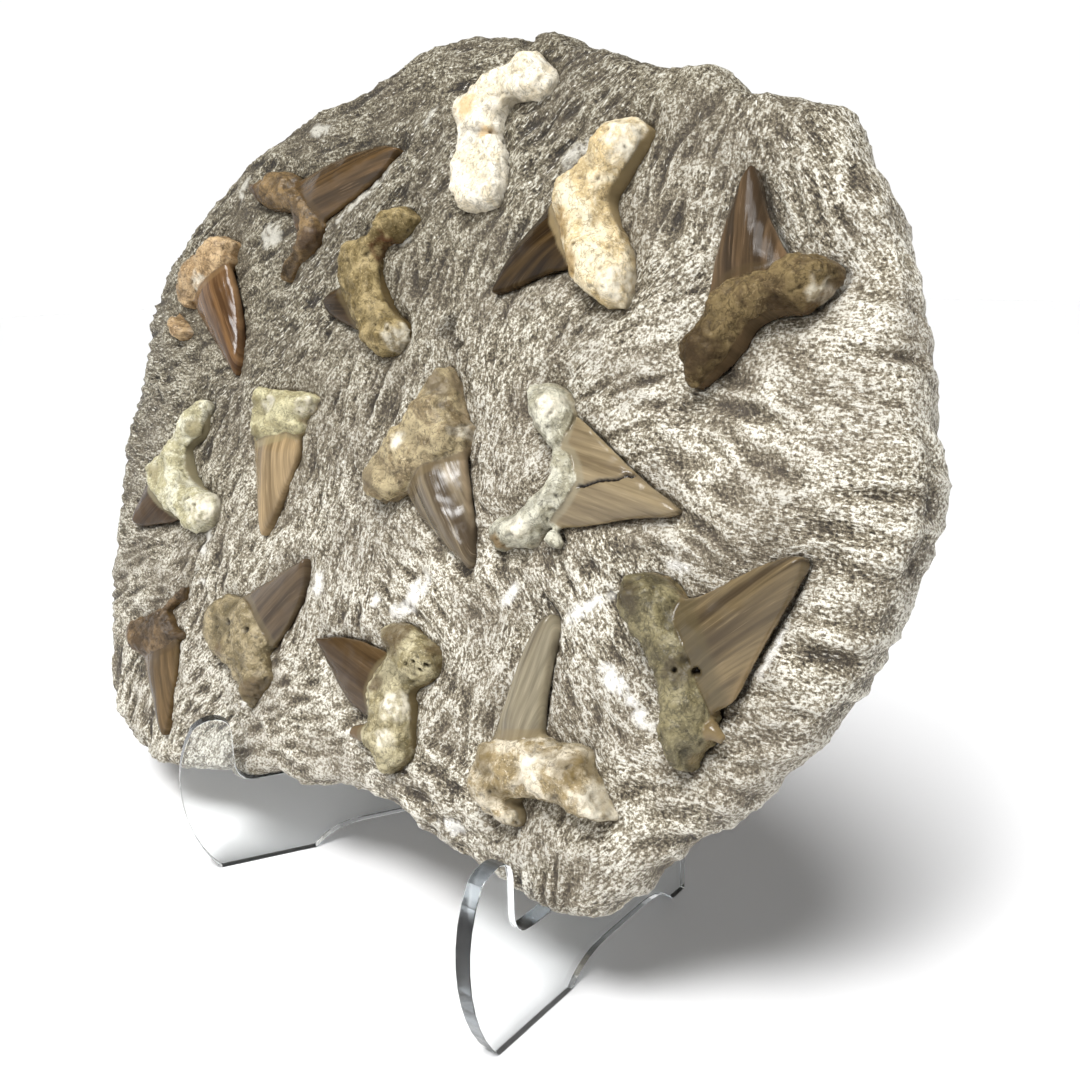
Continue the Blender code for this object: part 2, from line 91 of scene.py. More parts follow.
# Teeth, read off the face as seen from the eye, in (u, v).
# roots: outlines of the bony parts. high: how far a root stands up. brow: how wide its edge
# rounds off. folds: height of its wrinkles. creases: lines pressed across it.
# holes: (u, v, radius). left, right: a crown's edges from base to tip. crest: how far the crown
# swells. keel: below 2 for a sharper ridge. neck: width of the dull collar at its base.
# crack: a line across the crown. cusps: small side points (foot, tip, radius), and bony where
# they have no enamel. enamel, bone: two colours each. rim: colour of the cutting edges.
# shine: how strongly the tooth reflects. pale, deep: round stains (u, v, radius), and stain is
# the colour of the deep ones. trench: depth and width of the matrix cut away round the tooth.
TEETH = {
    "tooth_01": dict(
        roots=[[(-104, 170.8), (-97, 173.2), (-91, 175), (-85, 174.8), (-79, 172.5), (-76, 168),
                (-71, 164), (-67, 160), (-63.5, 157), (-63.5, 153), (-67, 149.5), (-71, 147),
                (-74, 142.3), (-80, 143), (-79, 147.5), (-75.5, 151.5), (-73.8, 156),
                (-74.5, 160), (-78, 162), (-84, 163), (-90, 163.5), (-96, 165.5)]],
        left=[(-81, 171.5), (-70, 175), (-60, 178), (-50, 179.6), (-42, 179.9), (-37, 178.6)],
        right=[(-68, 157.5), (-60, 161.7), (-49, 168), (-43, 171.7), (-39, 176), (-37, 178.6)],
        high=5.4, crest=3.4, keel=1.7, enamel=("3d2f1d", "675034"), rim="8a6f4a",
        bone=("856d49", "57462f"), stain="3c2a1c", deep=[(-70, 153, 7), (-102, 170, 2.5)],
        trench=(0.9, 3.0)),
    "tooth_02": dict(
        roots=[[(-116, 157), (-110, 155.5), (-105, 153), (-107, 150), (-113, 147), (-117, 143),
                (-121, 138), (-123, 133.5), (-129, 133.5), (-134, 137), (-135.6, 141),
                (-133, 145.5), (-128, 149.5), (-122, 153.5)],
               [(-134.7, 133), (-136.6, 128), (-133, 123.5), (-127, 122.6), (-120.5, 124.5),
                (-126.6, 128.4), (-131.7, 131)]],
        left=[(-125, 137), (-122, 133), (-112, 125.5), (-101.7, 118.6), (-96, 114.8),
              (-92.6, 113)],
        right=[(-110, 150), (-107, 146), (-101, 138.2), (-96.4, 129.5), (-93, 121),
               (-92.6, 113)],
        high=5.6, crest=3.6, enamel=("493421", "785a3b"), rim="9b7c58",
        bone=("c6aa82", "8f7552"), stain="6f6256", deep=[(-107, 153.5, 5)],
        pale=[(-129, 128, 2.5), (-124, 141, 4)], trench=(0.8, 3.0)),
    "tooth_03": dict(
        roots=[[(-34, 162.8), (-28, 161.5), (-23.5, 158.5), (-25, 155.3), (-30, 153.3),
                (-34, 151.5), (-35, 147), (-33.5, 143), (-30.5, 139), (-26, 134.5),
                (-20.5, 131.5), (-18.3, 128), (-22, 124.2), (-29, 122.8), (-34.5, 125),
                (-40, 129.5), (-46, 135), (-50, 140), (-52.3, 145), (-52, 150.5),
                (-48.5, 153.2), (-43, 154), (-40, 158), (-38, 161.5)]],
        left=[(-38, 128), (-48.9, 131), (-54.4, 133.3), (-56.8, 136.7)],
        right=[(-44, 146), (-50, 141.5), (-54.5, 139.5), (-56.8, 136.7)],
        high=6.2, crest=2.4, folds=0.2, shine=0.14, enamel=("2c2113", "443420"), rim="5f5142",
        bone=("a19068", "70613f"), stain="52291a", deep=[(-38, 151.5, 4.4)],
        pale=[(-24, 127, 5.5), (-25.5, 157.6, 4)], trench=(1.0, 3.2)),
    "tooth_04": dict(
        roots=[[(2, 199.2), (6.5, 199), (11, 196.4), (14, 193.6), (15.2, 190), (12.5, 187.8),
                (7, 187), (3, 185), (0.5, 182), (1, 178), (4, 174), (5.5, 169), (5, 164),
                (1.5, 160.8), (-4, 160.5), (-9.5, 162), (-13.3, 166), (-14.5, 171),
                (-14.2, 176), (-14.2, 181), (-16.8, 186), (-17, 190), (-13, 192.8),
                (-6, 195.5), (-1.5, 196.6)]],
        high=4.2, brow=2.6, creases=[[(-12, 181.5), (-5, 180.8), (2, 182)]],
        bone=("f1ead9", "e2d5b9"), stain="caa874", deep=[(-14, 188, 3.5), (-7, 181, 2)],
        enamel=("5d4a38", "7d6a50"), rim="8a7658", trench=(0.9, 3.2)),
    "tooth_05": dict(
        roots=[[(31, 176.5), (34.5, 179), (39, 180.2), (44, 179), (47.5, 176), (46.5, 172),
                (43.5, 166.5), (40.8, 161.5), (42, 157.5), (45, 153), (48.5, 148.5),
                (50.5, 142), (49.5, 137.5), (44, 137.6), (38.5, 139.5), (33.5, 143.5),
                (28.5, 150.5), (25, 156), (22.6, 161), (22, 165), (24, 168), (28, 169.8),
                (29.8, 173)]],
        left=[(24, 166), (20.6, 160.4), (16.7, 155.6), (12.2, 150), (9.4, 144.8), (8, 139.8)],
        right=[(34, 147), (29.8, 145.6), (24.4, 144.4), (17.8, 142.2), (11.5, 140),
               (8, 139.8)],
        high=7.0, brow=5.5, crest=3.4, shine=0.16, enamel=("241a0f", "46361f"), rim="54452f",
        bone=("e3d6b8", "c6b084"), stain="9a7c48", deep=[(25.5, 156, 4.5), (31, 147, 4)],
        pale=[(41, 175, 6), (45, 143, 5)], trench=(1.1, 3.5)),
    "tooth_06": dict(
        roots=[[(88.5, 148), (91.5, 149), (95.5, 148.3), (98.8, 146), (98.5, 143), (95, 139.5),
                (92.5, 137.3), (87, 137), (82.5, 134.5), (80.3, 130), (77, 125.8),
                (73.5, 122.5), (70.8, 120.6), (68, 123.5), (66, 127), (66.5, 131.5),
                (69, 135), (70, 138.5), (72.5, 142.3), (77, 145), (82, 145.8)]],
        left=[(70, 134), (69.6, 143), (70, 151), (70.8, 158), (72.2, 164), (74.5, 167.3)],
        right=[(89, 145), (86.7, 148.5), (83.9, 152.2), (80, 157.8), (77.2, 163.3),
               (74.5, 167.3)],
        high=7.0, crest=3.2, folds=0.42, shine=0.08, enamel=("3a2f23", "66523c"), rim="94785a",
        bone=("7c6b4a", "594a33"), stain="3a2d1e", deep=[(70, 129, 6), (86, 138, 4)],
        pale=[(95.5, 141, 4)], trench=(2.6, 6.5)),
    "tooth_07": dict(
        roots=[[(-110.5, 104), (-106, 104.5), (-102.8, 102.5), (-102.5, 98), (-103.5, 94),
                (-107.5, 91.5), (-109, 88), (-106.5, 82.5), (-102.5, 79), (-97, 77),
                (-91.5, 76), (-88.3, 72.5), (-89.5, 68), (-95, 64.6), (-102, 64),
                (-107.5, 66.5), (-116, 68.3), (-124, 70.8), (-129, 74.8), (-130.3, 79.5),
                (-128, 83.5), (-123.5, 87), (-120.5, 90), (-118.5, 95), (-116, 100)]],
        left=[(-128, 82), (-131.5, 75), (-134.5, 69), (-136.4, 62)],
        right=[(-106, 72), (-109.4, 66), (-122.8, 62.3), (-132, 60.5), (-136.4, 62)],
        high=5.4, crest=2.4, shine=0.14, enamel=("33261a", "4b3a27"), rim="6b5a47",
        bone=("d8d4bd", "b1aa88"), stain="8d8362", deep=[(-113, 95, 3.5), (-127, 79, 4)],
        pale=[(-99, 72, 6), (-106, 99, 4), (-112, 84, 4)], trench=(1.0, 3.2)),
    "tooth_08": dict(
        roots=[[(-80.5, 109.5), (-74, 110.2), (-67, 110.8), (-60, 110.6), (-53, 110),
                (-49.8, 108.8), (-51, 106), (-55.5, 102.5), (-59.5, 98.8), (-64.5, 98.5),
                (-68, 96.6), (-74, 94.3), (-77.5, 95.5), (-79, 99), (-80.2, 104)]],
        left=[(-79.5, 101), (-77.2, 94), (-74.4, 87.2), (-71, 79.5), (-68, 72.5),
              (-65, 68)],
        right=[(-57, 101), (-55.8, 93), (-57.2, 87), (-60, 79.5), (-62.2, 72), (-65, 68)],
        high=6.0, crest=4.2, keel=1.6, enamel=("6a583e", "a08a68"), rim="a8916c",
        bone=("c4bd98", "a19873"), stain="6d6444", deep=[(-77, 97, 3), (-79, 106, 2.5)],
        pale=[(-56, 104.5, 6), (-73, 106, 3)], trench=(0.8, 3.0)),
    "tooth_09": dict(
        roots=[[(-4, 122.5), (-0.5, 120.5), (2.5, 116.7), (5.5, 112), (8, 108), (8, 105),
                (6.5, 101), (1, 97.8), (-3, 95), (-6.5, 90.5), (-9.5, 87.5), (-14, 85.3),
                (-19, 84.4), (-23, 86.5), (-24.7, 90), (-22.8, 95.2), (-19.8, 99.5),
                (-16, 103.7), (-12.5, 108.5), (-10, 112.8), (-7.5, 118.3)]],
        left=[(-11, 91), (-9, 88), (-3, 83.6), (4.3, 79.4), (11.6, 75.8), (18, 73.4)],
        right=[(7, 108), (9.2, 100), (11.6, 94), (15.2, 85.5), (18.2, 78), (18, 73.4)],
        high=7.4, brow=5.0, crest=5.8, keel=1.25, enamel=("4c4133", "837660"), rim="b29a7c",
        bone=("ae9f7c", "7d6d50"), stain="6c5f48", deep=[(-22, 90, 4), (-4, 117, 4)],
        pale=[(-13, 101, 2.8), (5, 106, 2.5)], trench=(0.9, 3.2)),
    "tooth_10": dict(
        roots=[[(27, 118.5), (30.5, 119.3), (36.5, 118.2), (40.3, 114.5), (41.4, 109.5),
                (41.3, 104.8), (43.5, 101.8), (45.6, 99), (45, 96.5), (42.8, 92.7),
                (40, 89), (39.3, 85.5), (37.5, 82.2), (32, 81), (26, 79), (22.4, 80.6),
                (22.2, 83.8), (26, 87.3), (31, 91), (35.7, 95.2), (38.3, 99.3), (37.3, 103),
                (33.2, 106.5), (29, 110.8), (26.5, 115)]],
        left=[(41.5, 113), (47.7, 109.5), (55, 105.3), (60, 102.3), (66, 99.3),
              (71, 97), (72.7, 95.4)],
        right=[(41.2, 86.4), (48.9, 88), (56, 90.2), (63.4, 92.3), (70.5, 93.6),
               (72.7, 95.4)],
        cusps=[((40.5, 85), (44, 83), 2.6)], bony=True,
        crack=[(46, 97), (47.6, 97.3), (51.3, 99), (55.9, 100), (57.5, 101.4), (58.8, 101.1),
               (59.8, 102.8)],
        high=6.2, crest=2.2, enamel=("6a5c46", "897a5f"), rim="9c8c68",
        bone=("cbc8b6", "9f9a84"), stain="8a6a33", deep=[(23.5, 81.5, 2.2), (44, 84, 1.6)],
        pale=[(33, 114, 3), (31, 86, 3)], trench=(1.2, 3.6)),
    "tooth_11": dict(
        roots=[[(-126, 27.5), (-123.5, 31), (-118, 34), (-111, 37.2), (-106, 41),
                (-103, 44.5), (-99.5, 47.3), (-96.8, 46.8), (-97.3, 43.8), (-100.5, 41.5),
                (-102.5, 38.5), (-100.5, 35.8), (-96.8, 32), (-101, 29.5), (-105, 26),
                (-112, 21.5), (-118, 21.7), (-123, 23.3)]],
        left=[(-117, 26), (-114.4, 20.5), (-109.4, 14), (-104, 8.3), (-99.5, 3.5),
              (-96, 0.6)],
        right=[(-98, 31), (-96, 21), (-95.6, 15), (-95, 8.5), (-94.8, 3.5), (-96, 0.6)],
        high=4.8, crest=2.6, enamel=("42341f", "6a5538"), rim="8d7550",
        bone=("735e43", "4d3d29"), stain="453521", deep=[(-104, 33, 4), (-120, 25, 3)],
        pale=[(-98.5, 45.5, 1.5)], trench=(0.8, 3.0)),
    "tooth_12": dict(
        roots=[[(-84.5, 38), (-83.5, 41.5), (-80.5, 45.7), (-76, 48.5), (-70, 49.3),
                (-64, 48.2), (-58.5, 44), (-54.5, 40.5), (-51, 37), (-49.5, 33),
                (-47.5, 30.5), (-50, 26.5), (-53, 22.8), (-57, 19.5), (-60, 21.8),
                (-63, 25), (-66.5, 27.8), (-72, 29.4), (-78.5, 32), (-82.5, 34.5)]],
        left=[(-72, 48), (-66, 52), (-57.2, 57.2), (-50.6, 61.7), (-44, 65.4)],
        right=[(-54, 36), (-48.5, 41.5), (-45, 48.3), (-43, 54), (-42.4, 60), (-44, 65.4)],
        holes=[(-73.9, 41.1, 1.0), (-63.8, 40.8, 0.95), (-71.3, 37.8, 0.85)],
        high=5.0, crest=2.6, enamel=("41362a", "5b4c3a"), rim="8a7858",
        bone=("a09273", "786b4d"), stain="5f4f38", deep=[(-57, 24, 6), (-75, 33, 3)],
        trench=(0.8, 3.0)),
    "tooth_13": dict(
        roots=[[(-8, 53), (-6.5, 54.7), (-3, 56.2), (1, 56.4), (6, 55), (12, 53.3),
                (14.5, 51.5), (14, 48), (12, 44.5), (8, 41.2), (9, 37.5), (10, 32.5),
                (10.6, 28), (9, 23.3), (5.6, 20), (3, 18.6), (0, 20), (-2.3, 23.3),
                (-6.5, 25), (-7.2, 29), (-7.4, 32.5), (-9, 37.5), (-7.4, 43), (-4.6, 46.5),
                (-5.3, 49), (-7.2, 50.5)]],
        left=[(-2, 48), (-14.4, 48.8), (-22, 48.3), (-28, 47.2), (-33, 45.2)],
        right=[(-4, 30), (-12, 31), (-17.8, 33.3), (-23.3, 37.2), (-29, 41.7), (-33, 45.2)],
        cusps=[((-4, 27), (-11.5, 25.8), 3.2)],
        holes=[(2.8, 46.7, 0.4), (5.2, 47.9, 0.45), (7.8, 47.7, 0.35), (10, 48.6, 0.5),
               (12.3, 47.4, 0.45), (6.8, 46.1, 0.3)],
        high=5.8, crest=2.2, shine=0.24, enamel=("3a2b1a", "524029"), rim="77603f",
        bone=("bdb392", "857a58"), stain="4a3822",
        deep=[(-4, 52.5, 5.5), (9, 54, 4.5), (-6, 40, 2.5)],
        pale=[(2, 36, 4), (1, 27, 3)], trench=(0.8, 3.0)),
    "tooth_14": dict(
        roots=[[(33.3, 35.5), (37, 38), (42, 39.3), (48, 40.8), (54, 41.2), (59, 42.3),
                (62.5, 41.8), (65, 38), (68.5, 34), (71.3, 30.6), (67, 28), (60, 28.2),
                (54, 27.8), (49, 27.2), (46, 26), (48, 24), (48.2, 21.3), (45.5, 19.5),
                (40, 20.3), (35, 21.5), (31.5, 24), (30.6, 27.2), (32, 31)]],
        left=[(35, 34), (35, 38.5), (36.7, 45), (38.3, 54), (40, 61.7), (42.3, 66),
              (45.5, 68.2)],
        right=[(50, 38), (48.3, 45), (47.4, 51.7), (47.4, 58.3), (47.4, 64.5),
               (45.5, 68.2)],
        high=7.0, brow=5.5, crest=5.0, enamel=("5a5142", "918872"), rim="bdb08e", folds=0.3,
        bone=("d2c7b0", "978560"), stain="66552f", deep=[(35, 32, 4), (59, 37, 4), (40, 26, 3)],
        pale=[(67, 32, 6), (45, 22, 3), (49, 34, 4)], trench=(1.1, 3.5)),
    "tooth_15": dict(
        roots=[[(63.2, 78), (64.8, 80.5), (68.5, 82), (73.5, 81.8), (77.3, 79), (76.8, 75.5),
                (78.5, 72.3), (81.5, 69.8), (83.8, 66), (85.3, 63), (87.5, 59.5),
                (90, 55.5), (90.8, 52), (88.3, 49), (87.2, 45), (84, 45), (81, 47.8),
                (79, 51.7), (77.8, 57.5), (75.5, 61.8), (72, 66.3), (67.5, 69.3),
                (64.5, 73)]],
        left=[(72, 77), (78, 78.6), (82.2, 80), (87.8, 84), (93.3, 87.8), (99, 90.9),
              (102.4, 91)],
        right=[(86, 55), (91, 57.8), (94, 60.6), (95.6, 66), (97.8, 72.8), (101, 81.7),
               (102.8, 88), (102.4, 91)],
        cusps=[((89.5, 54.5), (93.4, 53), 2.2)],
        holes=[(82.8, 64.1, 0.7), (79.4, 63.7, 0.45)],
        high=7.4, brow=5.0, crest=5.2, keel=1.7, enamel=("453a2b", "78684c"), rim="b79a6c",
        bone=("837a5a", "5c543b"), stain="3f3524", deep=[(81, 64, 3.5), (66, 76, 4)],
        pale=[(75, 81.5, 2)], folds=0.3, neck=5.5, trench=(1.7, 5.0)),
}

# What holds for a tooth that gives no other value
USUAL = dict(high=5.5, brow=4.5, crest=3.5, keel=2.0, neck=2.0, folds=0.12, shine=0.34,
             creases=[], holes=[], crack=[], cusps=[], bony=False, pale=[], deep=[])

# Heights above the face at which the marks of a tooth are seen
CROWN_READ_AT, CUSP_READ_AT, CRACK_READ_AT = 1.0, 1.5, 3.0
CREASE_READ_AT, STAIN_READ_AT = 4.0, 5.0
HOLE_UNDER_TOP = 0.5           # holes are seen this far below a root's full height

NEAR_SIDE = -0.4               # height at which the side towards the eye meets the matrix
OVER_CROWN = 0.6               # how far a root's edge stands over the crown
BURIED = 3.5                   # how far a tooth reaches below the face
TIP_WORN = 0.035               # share of the crown that rounds off
TIP_ROUND = 0.7                # the tip's least half width
WALL = 0.3                     # how far a crown's walls stand in from its seen edges
CUSP_HIGH = 1.2                # height of a cusp's middle
TOOTH_VOXEL = 0.5              # grid on which a tooth's skins are joined
ROOT_STEP = 0.9                # spacing of the points on a root's top

# Relief of the teeth: size and height of each kind
LUMPS, SMALL_LUMPS, PITS, WEAR = (8.0, 1.1), (2.2, 0.3), (1.5, 0.7), (6.0, 0.18)
FOLD_SIZE = (1.7, 9)           # width and length of the folds across a root
RIB_SIZE, RIB_HIGH = (0.8, 9), 0.04
# CREASE_DARK and CRACK_DARK: strength of the painted shade in a crease and in the crack
CREASE_WIDTH, CREASE_DEPTH, CREASE_DARK = 0.7, 1.0, 0.4
HOLE_DEPTH, CRACK_DEPTH, CRACK_DARK = 1.8, 0.8, 1.2
CRACK_HALF = (0.15, 0.5)       # half width of the crack at its floor and at its lip

# Chisel marks on the face: middle (u, v), direction in degrees, spacing, depth
MARKS = [
    (-128, 160, 38, 3.0, 0.5), (-95, 178, 25, 3.2, 0.4), (-55, 188, 15, 3.2, 0.4),
    (-20, 200, 10, 3.0, 0.4), (-140, 110, 5, 3.6, 0.6), (-95, 130, 20, 3.0, 0.5),
    (-85, 150, 30, 3.0, 0.5), (-60, 130, 55, 2.8, 0.5), (-38, 110, 72, 2.8, 0.7),
    (-38, 80, 82, 2.8, 0.7), (-18, 140, 70, 2.8, 0.6), (-28, 175, 50, 2.8, 0.6),
    (-90, 90, 60, 3.0, 0.5), (-130, 75, -8, 3.6, 0.5), (-120, 48, 18, 3.4, 0.5),
    (-110, 5, 80, 3.4, 0.5), (-88, 55, 70, 3.0, 0.5), (-75, 15, 40, 3.0, 0.4),
    (-35, 55, 88, 3.0, 0.6), (-35, 22, 20, 3.0, 0.4), (10, 62, -25, 3.0, 0.5),
    (25, 45, 75, 3.0, 0.5), (12, 145, 72, 2.8, 0.6), (8, 120, 85, 2.6, 0.6),
    (18, 180, 40, 2.8, 0.5), (25, 130, 60, 2.8, 0.5), (58, 165, 72, 3.2, 0.6),
    (55, 125, 25, 3.0, 0.5), (85, 110, -22, 4.0, 0.6), (90, 165, -50, 3.6, 0.5),
    (112, 130, -10, 5.0, 0.8), (115, 100, 4, 5.6, 1.0), (112, 75, 2, 5.2, 1.0),
    (104, 55, 6, 4.6, 1.0), (92, 40, 12, 4.0, 0.8), (78, 22, 25, 3.8, 0.6),
    (60, 55, -42, 2.6, 0.5), (60, 18, 78, 3.0, 0.5), (20, 14, 5, 3.0, 0.5),
    (-60, 68, 60, 3.0, 0.5),
]
MARK_REACH = 16.0
MARK_LENGTH = 3.6              # length of a mark over its spacing
MARK_DEPTH = 1.75              # depth of the strokes over the depths read
STREAK = (2.2, 0.55, 0.55)     # length, width and depth of the finest streaks

FALLOFF_SHADE_WAY = (-0.5, 0.87)        # painted shade: the matrix is darker towards the upper left, where the light falls off
FALLOFF_SHADE_FROM, FALLOFF_SHADE_TO = 60, 170   # how far that way it starts, and is darkest

# Chalky white patches: middle, half length, half width, direction in degrees
CHALK = [
    (2, 64, 7.5, 3.4, 60), (-3, 59, 3.5, 2.2, 20), (54, 71, 8, 1.7, 37), (66, 58, 6, 2.6, -25),
    (73, 53, 5, 2.0, -40), (-92, 62, 5.5, 1.9, 95), (-90.5, 50, 1.6, 1.2, 0),
    (-74, 186.5, 5.5, 2.4, -5), (-107, 170.5, 5, 1.9, 70), (-49, 164.9, 17, 1.6, 36),
    (-87, 155.5, 6.5, 4.6, 10), (27, 173, 6, 2.2, 35), (-28, 153, 3, 1.0, 25), (26, 13, 5, 2.2, 10),
    (-35, 60, 4, 2.5, 80), (33, 70, 4, 1.6, 60), (-26, 186, 3, 0.9, 60), (-12, 60, 2.5, 1.2, 70),
    (75, 84, 3.5, 1.6, 0), (99, 72, 7, 0.9, 72), (-60, 20, 3, 1.4, 40), (12, 8, 4, 1.6, 20)]

# The slab's rim, from its face, and its side: inset from the outline, depth below the face
FACE_RIM = ((0, 11), (1, 6), (2, 4.3), (3.5, 2.8), (8, 1.2), (15, 0.5), (26, 0), (400, 0))
SIDE_RIM = ((0.5, 7.3), (0.15, 8.6), (0, 10), (0, 11.3), (0.1, 12.6), (0.4, 14), (0.8, 15.5),
            (1.1, 17), (1.7, 18.5), (2.4, 20), (3.2, 21.3), (4.4, 22.5), (6, 23.5), (8, 24.3),
            (10.5, 25))
BACK_RIM = ((10.5, 25), (16, 25.7), (22, THICK))
SIDE_DEPTH = 11                # below it the rim rolls over no wider anywhere
UNDER_TOOTH = 2.2              # how far the face stays below a tooth's own skin
BRIM = 0.35                    # height of the brim round a cut
FAR = 90.0                     # stands for no tooth near
RIM_POINTS = 860
FACE_STEP, BACK_STEP = 0.92, 2.8

# Colours of the grains of the matrix from dark to pale, and of what lies over them, among them
# painted glints and painted shade
GRAINS = ((0.38, "211b14"), (0.44, "483f31"), (0.5, "786e5a"), (0.555, "aba28d"),
          (0.61, "f3efe3"))
CHALK_TONE, GLINT_TONE, DUST_TONE = "f6f3ec", "f4f1e6", "6f6455"
# painted shade: in the chisel grooves and side bites, round the teeth, and towards the upper left
GROOVE_SHADE_TONE, SHADE_TONE, FALLOFF_SHADE_TONE = "3b332b", "4a4035", "a3a08e"
# the second colour is the painted shade in a tooth's holes, creases, crack and pits
ROOT_PALE, CUT_SHADE_TONE = "ece5d2", "1a120b"

ACRYLIC_INDEX = 1.49
PLATE_EASE, WELD = 0.3, 0.01   # rounding of the plates' edges, and what counts as one point


def noise3(points, seed=0):
    """Smooth gradient noise, about -1 to 1, at an array of points."""
    dice = np.random.RandomState(seed)
    order = dice.permutation(256)
    slopes = dice.normal(size=(256, 3))
    slopes /= np.linalg.norm(slopes, axis=1)[:, None]
    cell = np.floor(points).astype(int)
    part = points - cell
    ease = part ** 3 * (part * (part * 6 - 15) + 10)
    total = np.zeros(len(points))
    for corner in range(8):
        step = np.array([corner & 1, corner >> 1 & 1, corner >> 2 & 1])
        node = (cell + step) & 255
        pick = order[(order[(order[node[:, 0]] + node[:, 1]) & 255] + node[:, 2]) & 255]
        weight = np.prod(np.where(step, ease, 1 - ease), axis=1)
        total += weight * np.einsum("ij,ij->i", slopes[pick], part - step)
    return total * 1.6


def layered(points, size, layers, seed):
    """Several sizes of noise, each half the size and just over half the strength."""
    total = np.zeros(len(points))
    for layer in range(layers):
        total += noise3(points / size * 2 ** layer, seed + layer) * 0.55 ** layer
    return total


def smooth(low, high, value):
    """0 below low and 1 above high, eased between."""
    share = np.clip((value - low) / (high - low), 0, 1)
    return share * share * (3 - 2 * share)


def place(points):
    """Points of the slab's frame, in millimetres, as world points in metres."""
    u, v, h = points.T
    x = u + SHIFT_X
    y = FACE_Y + v * math.sin(LEAN) - h * math.cos(LEAN) + SHIFT_Y
    z = FACE_Z + v * math.cos(LEAN) + h * math.sin(LEAN)
    return np.stack((x, y, z), axis=1) * MM


def unplace(world):
    """World points in metres in the slab's frame, in millimetres."""
    x, y, z = (world / MM).T
    y = y - SHIFT_Y - FACE_Y
    z = z - FACE_Z
    v = y * math.sin(LEAN) + z * math.cos(LEAN)
    h = -y * math.cos(LEAN) + z * math.sin(LEAN)
    return np.stack((x - SHIFT_X, v, h), axis=1)


def sight_line(spot, height):
    """Move a point seen at (u, v) on the face along the line of sight to a height."""
    return EYE[:2] + (np.array(spot[:2], float) - EYE[:2]) * (1 - height / EYE[2])


def mesh_points(mesh):
    flat = np.empty(len(mesh.vertices) * 3)
    mesh.vertices.foreach_get("co", flat)
    return flat.reshape(-1, 3)


def add_object(name, data):
    made = bpy.data.objects.new(name, data)
    bpy.context.scene.collection.objects.link(made)
    return made


def new_object(name, points, faces):
    """A mesh object from points in the slab's frame."""
    mesh = bpy.data.meshes.new(name)
    mesh.from_pydata(place(points).tolist(), [], faces)
    mesh.update()
    return add_object(name, mesh)


def evaluated(item):
    """Replace an object's mesh by what its modifiers make of it."""
    bpy.context.view_layer.update()
    graph = bpy.context.evaluated_depsgraph_get()
    mesh = bpy.data.meshes.new_from_object(item.evaluated_get(graph))
    item.modifiers.clear()
    old = item.data
    item.data = mesh
    bpy.data.meshes.remove(old)


def move_points(item, points):
    item.data.vertices.foreach_set("co", place(points).ravel())
    item.data.update()


def point_normals(item):
    """Normals of a mesh's points in the slab's frame."""
    flat = np.empty(len(item.data.vertices) * 3)
    item.data.vertex_normals.foreach_get("vector", flat)
    x, y, z = flat.reshape(-1, 3).T
    v = y * math.sin(LEAN) + z * math.cos(LEAN)
    h = -y * math.cos(LEAN) + z * math.sin(LEAN)
    return np.stack((x, v, h), axis=1)


def set_values(item, name, values):
    """Store one number a point for the material to read."""
    layer = item.data.attributes.new(name, "FLOAT", "POINT")
    layer.data.foreach_set("value", np.asarray(values, dtype=np.float32))


# Teeth


def curve_through(points, steps, closed=False):
    """A smooth curve of points through a list, as a Catmull-Rom spline."""
    knots = np.array(points, float)
    if closed:
        knots = np.vstack((knots[-1], knots, knots[:2]))
    else:
        knots = np.vstack((2 * knots[0] - knots[1], knots, 2 * knots[-1] - knots[-2]))
    rows = []
    for a, b, c, d in zip(knots, knots[1:], knots[2:], knots[3:]):
        for share in np.arange(steps) / steps:
            rows.append(0.5 * (2 * b + (c - a) * share + (2 * a - 5 * b + 4 * c - d) * share ** 2
                               + (3 * b - a - 3 * c + d) * share ** 3))
    if not closed:
        rows.append(knots[-2])
    return np.array(rows)


def loft(rings):
    """Closed skin over equal rings: points and faces."""
    size = len(rings[0])
    points = np.vstack(rings)
    faces = []
    for row in range(len(rings) - 1):
        for i in range(size):
            j = (i + 1) % size
            low, high = row * size, (row + 1) * size
            faces.append((low + i, low + j, high + j, high + i))
    faces.append(tuple(range(size))[::-1])
    faces.append(tuple(range(len(points) - size, len(points))))
    return points, faces


def tube(line, high, sides=20):
    """A tube along a line of (u, v, half width)."""
    along = np.gradient(line[:, :2], axis=0)
    along /= np.linalg.norm(along, axis=1)[:, None]
    turn = np.arange(sides) / sides * 2 * math.pi
    rings = []
    for (u, v, half), (du, dv) in zip(line, along):
        across = half * np.cos(turn)
        rings.append(np.stack((u - dv * across, v + du * across,
                               high + half * np.sin(turn)), axis=1))
    return loft(rings)


def loop_field(points, loop):
    """Distance of points inside a loop (below 0 outside), and how far round it they lie."""
    best = np.full(len(points), 1e9)
    place_on = np.zeros(len(points))
    inside = np.zeros(len(points), bool)
    run = 0.0
    for start, end in zip(loop, np.roll(loop, -1, axis=0)):
        side = end - start
        length = np.linalg.norm(side)
        share = np.clip((points[:, :2] - start) @ side / length ** 2, 0, 1)
        away = np.linalg.norm(points[:, :2] - start - share[:, None] * side, axis=1)
        nearer = away < best
        best[nearer] = away[nearer]
        place_on[nearer] = run + share[nearer] * length
        run += length
        if start[1] != end[1]:
            level = (start[1] > points[:, 1]) != (end[1] > points[:, 1])
            cross = start[0] + (points[:, 1] - start[1]) / side[1] * side[0]
            inside ^= level & (points[:, 0] < cross)
    return np.where(inside, best, -best), place_on


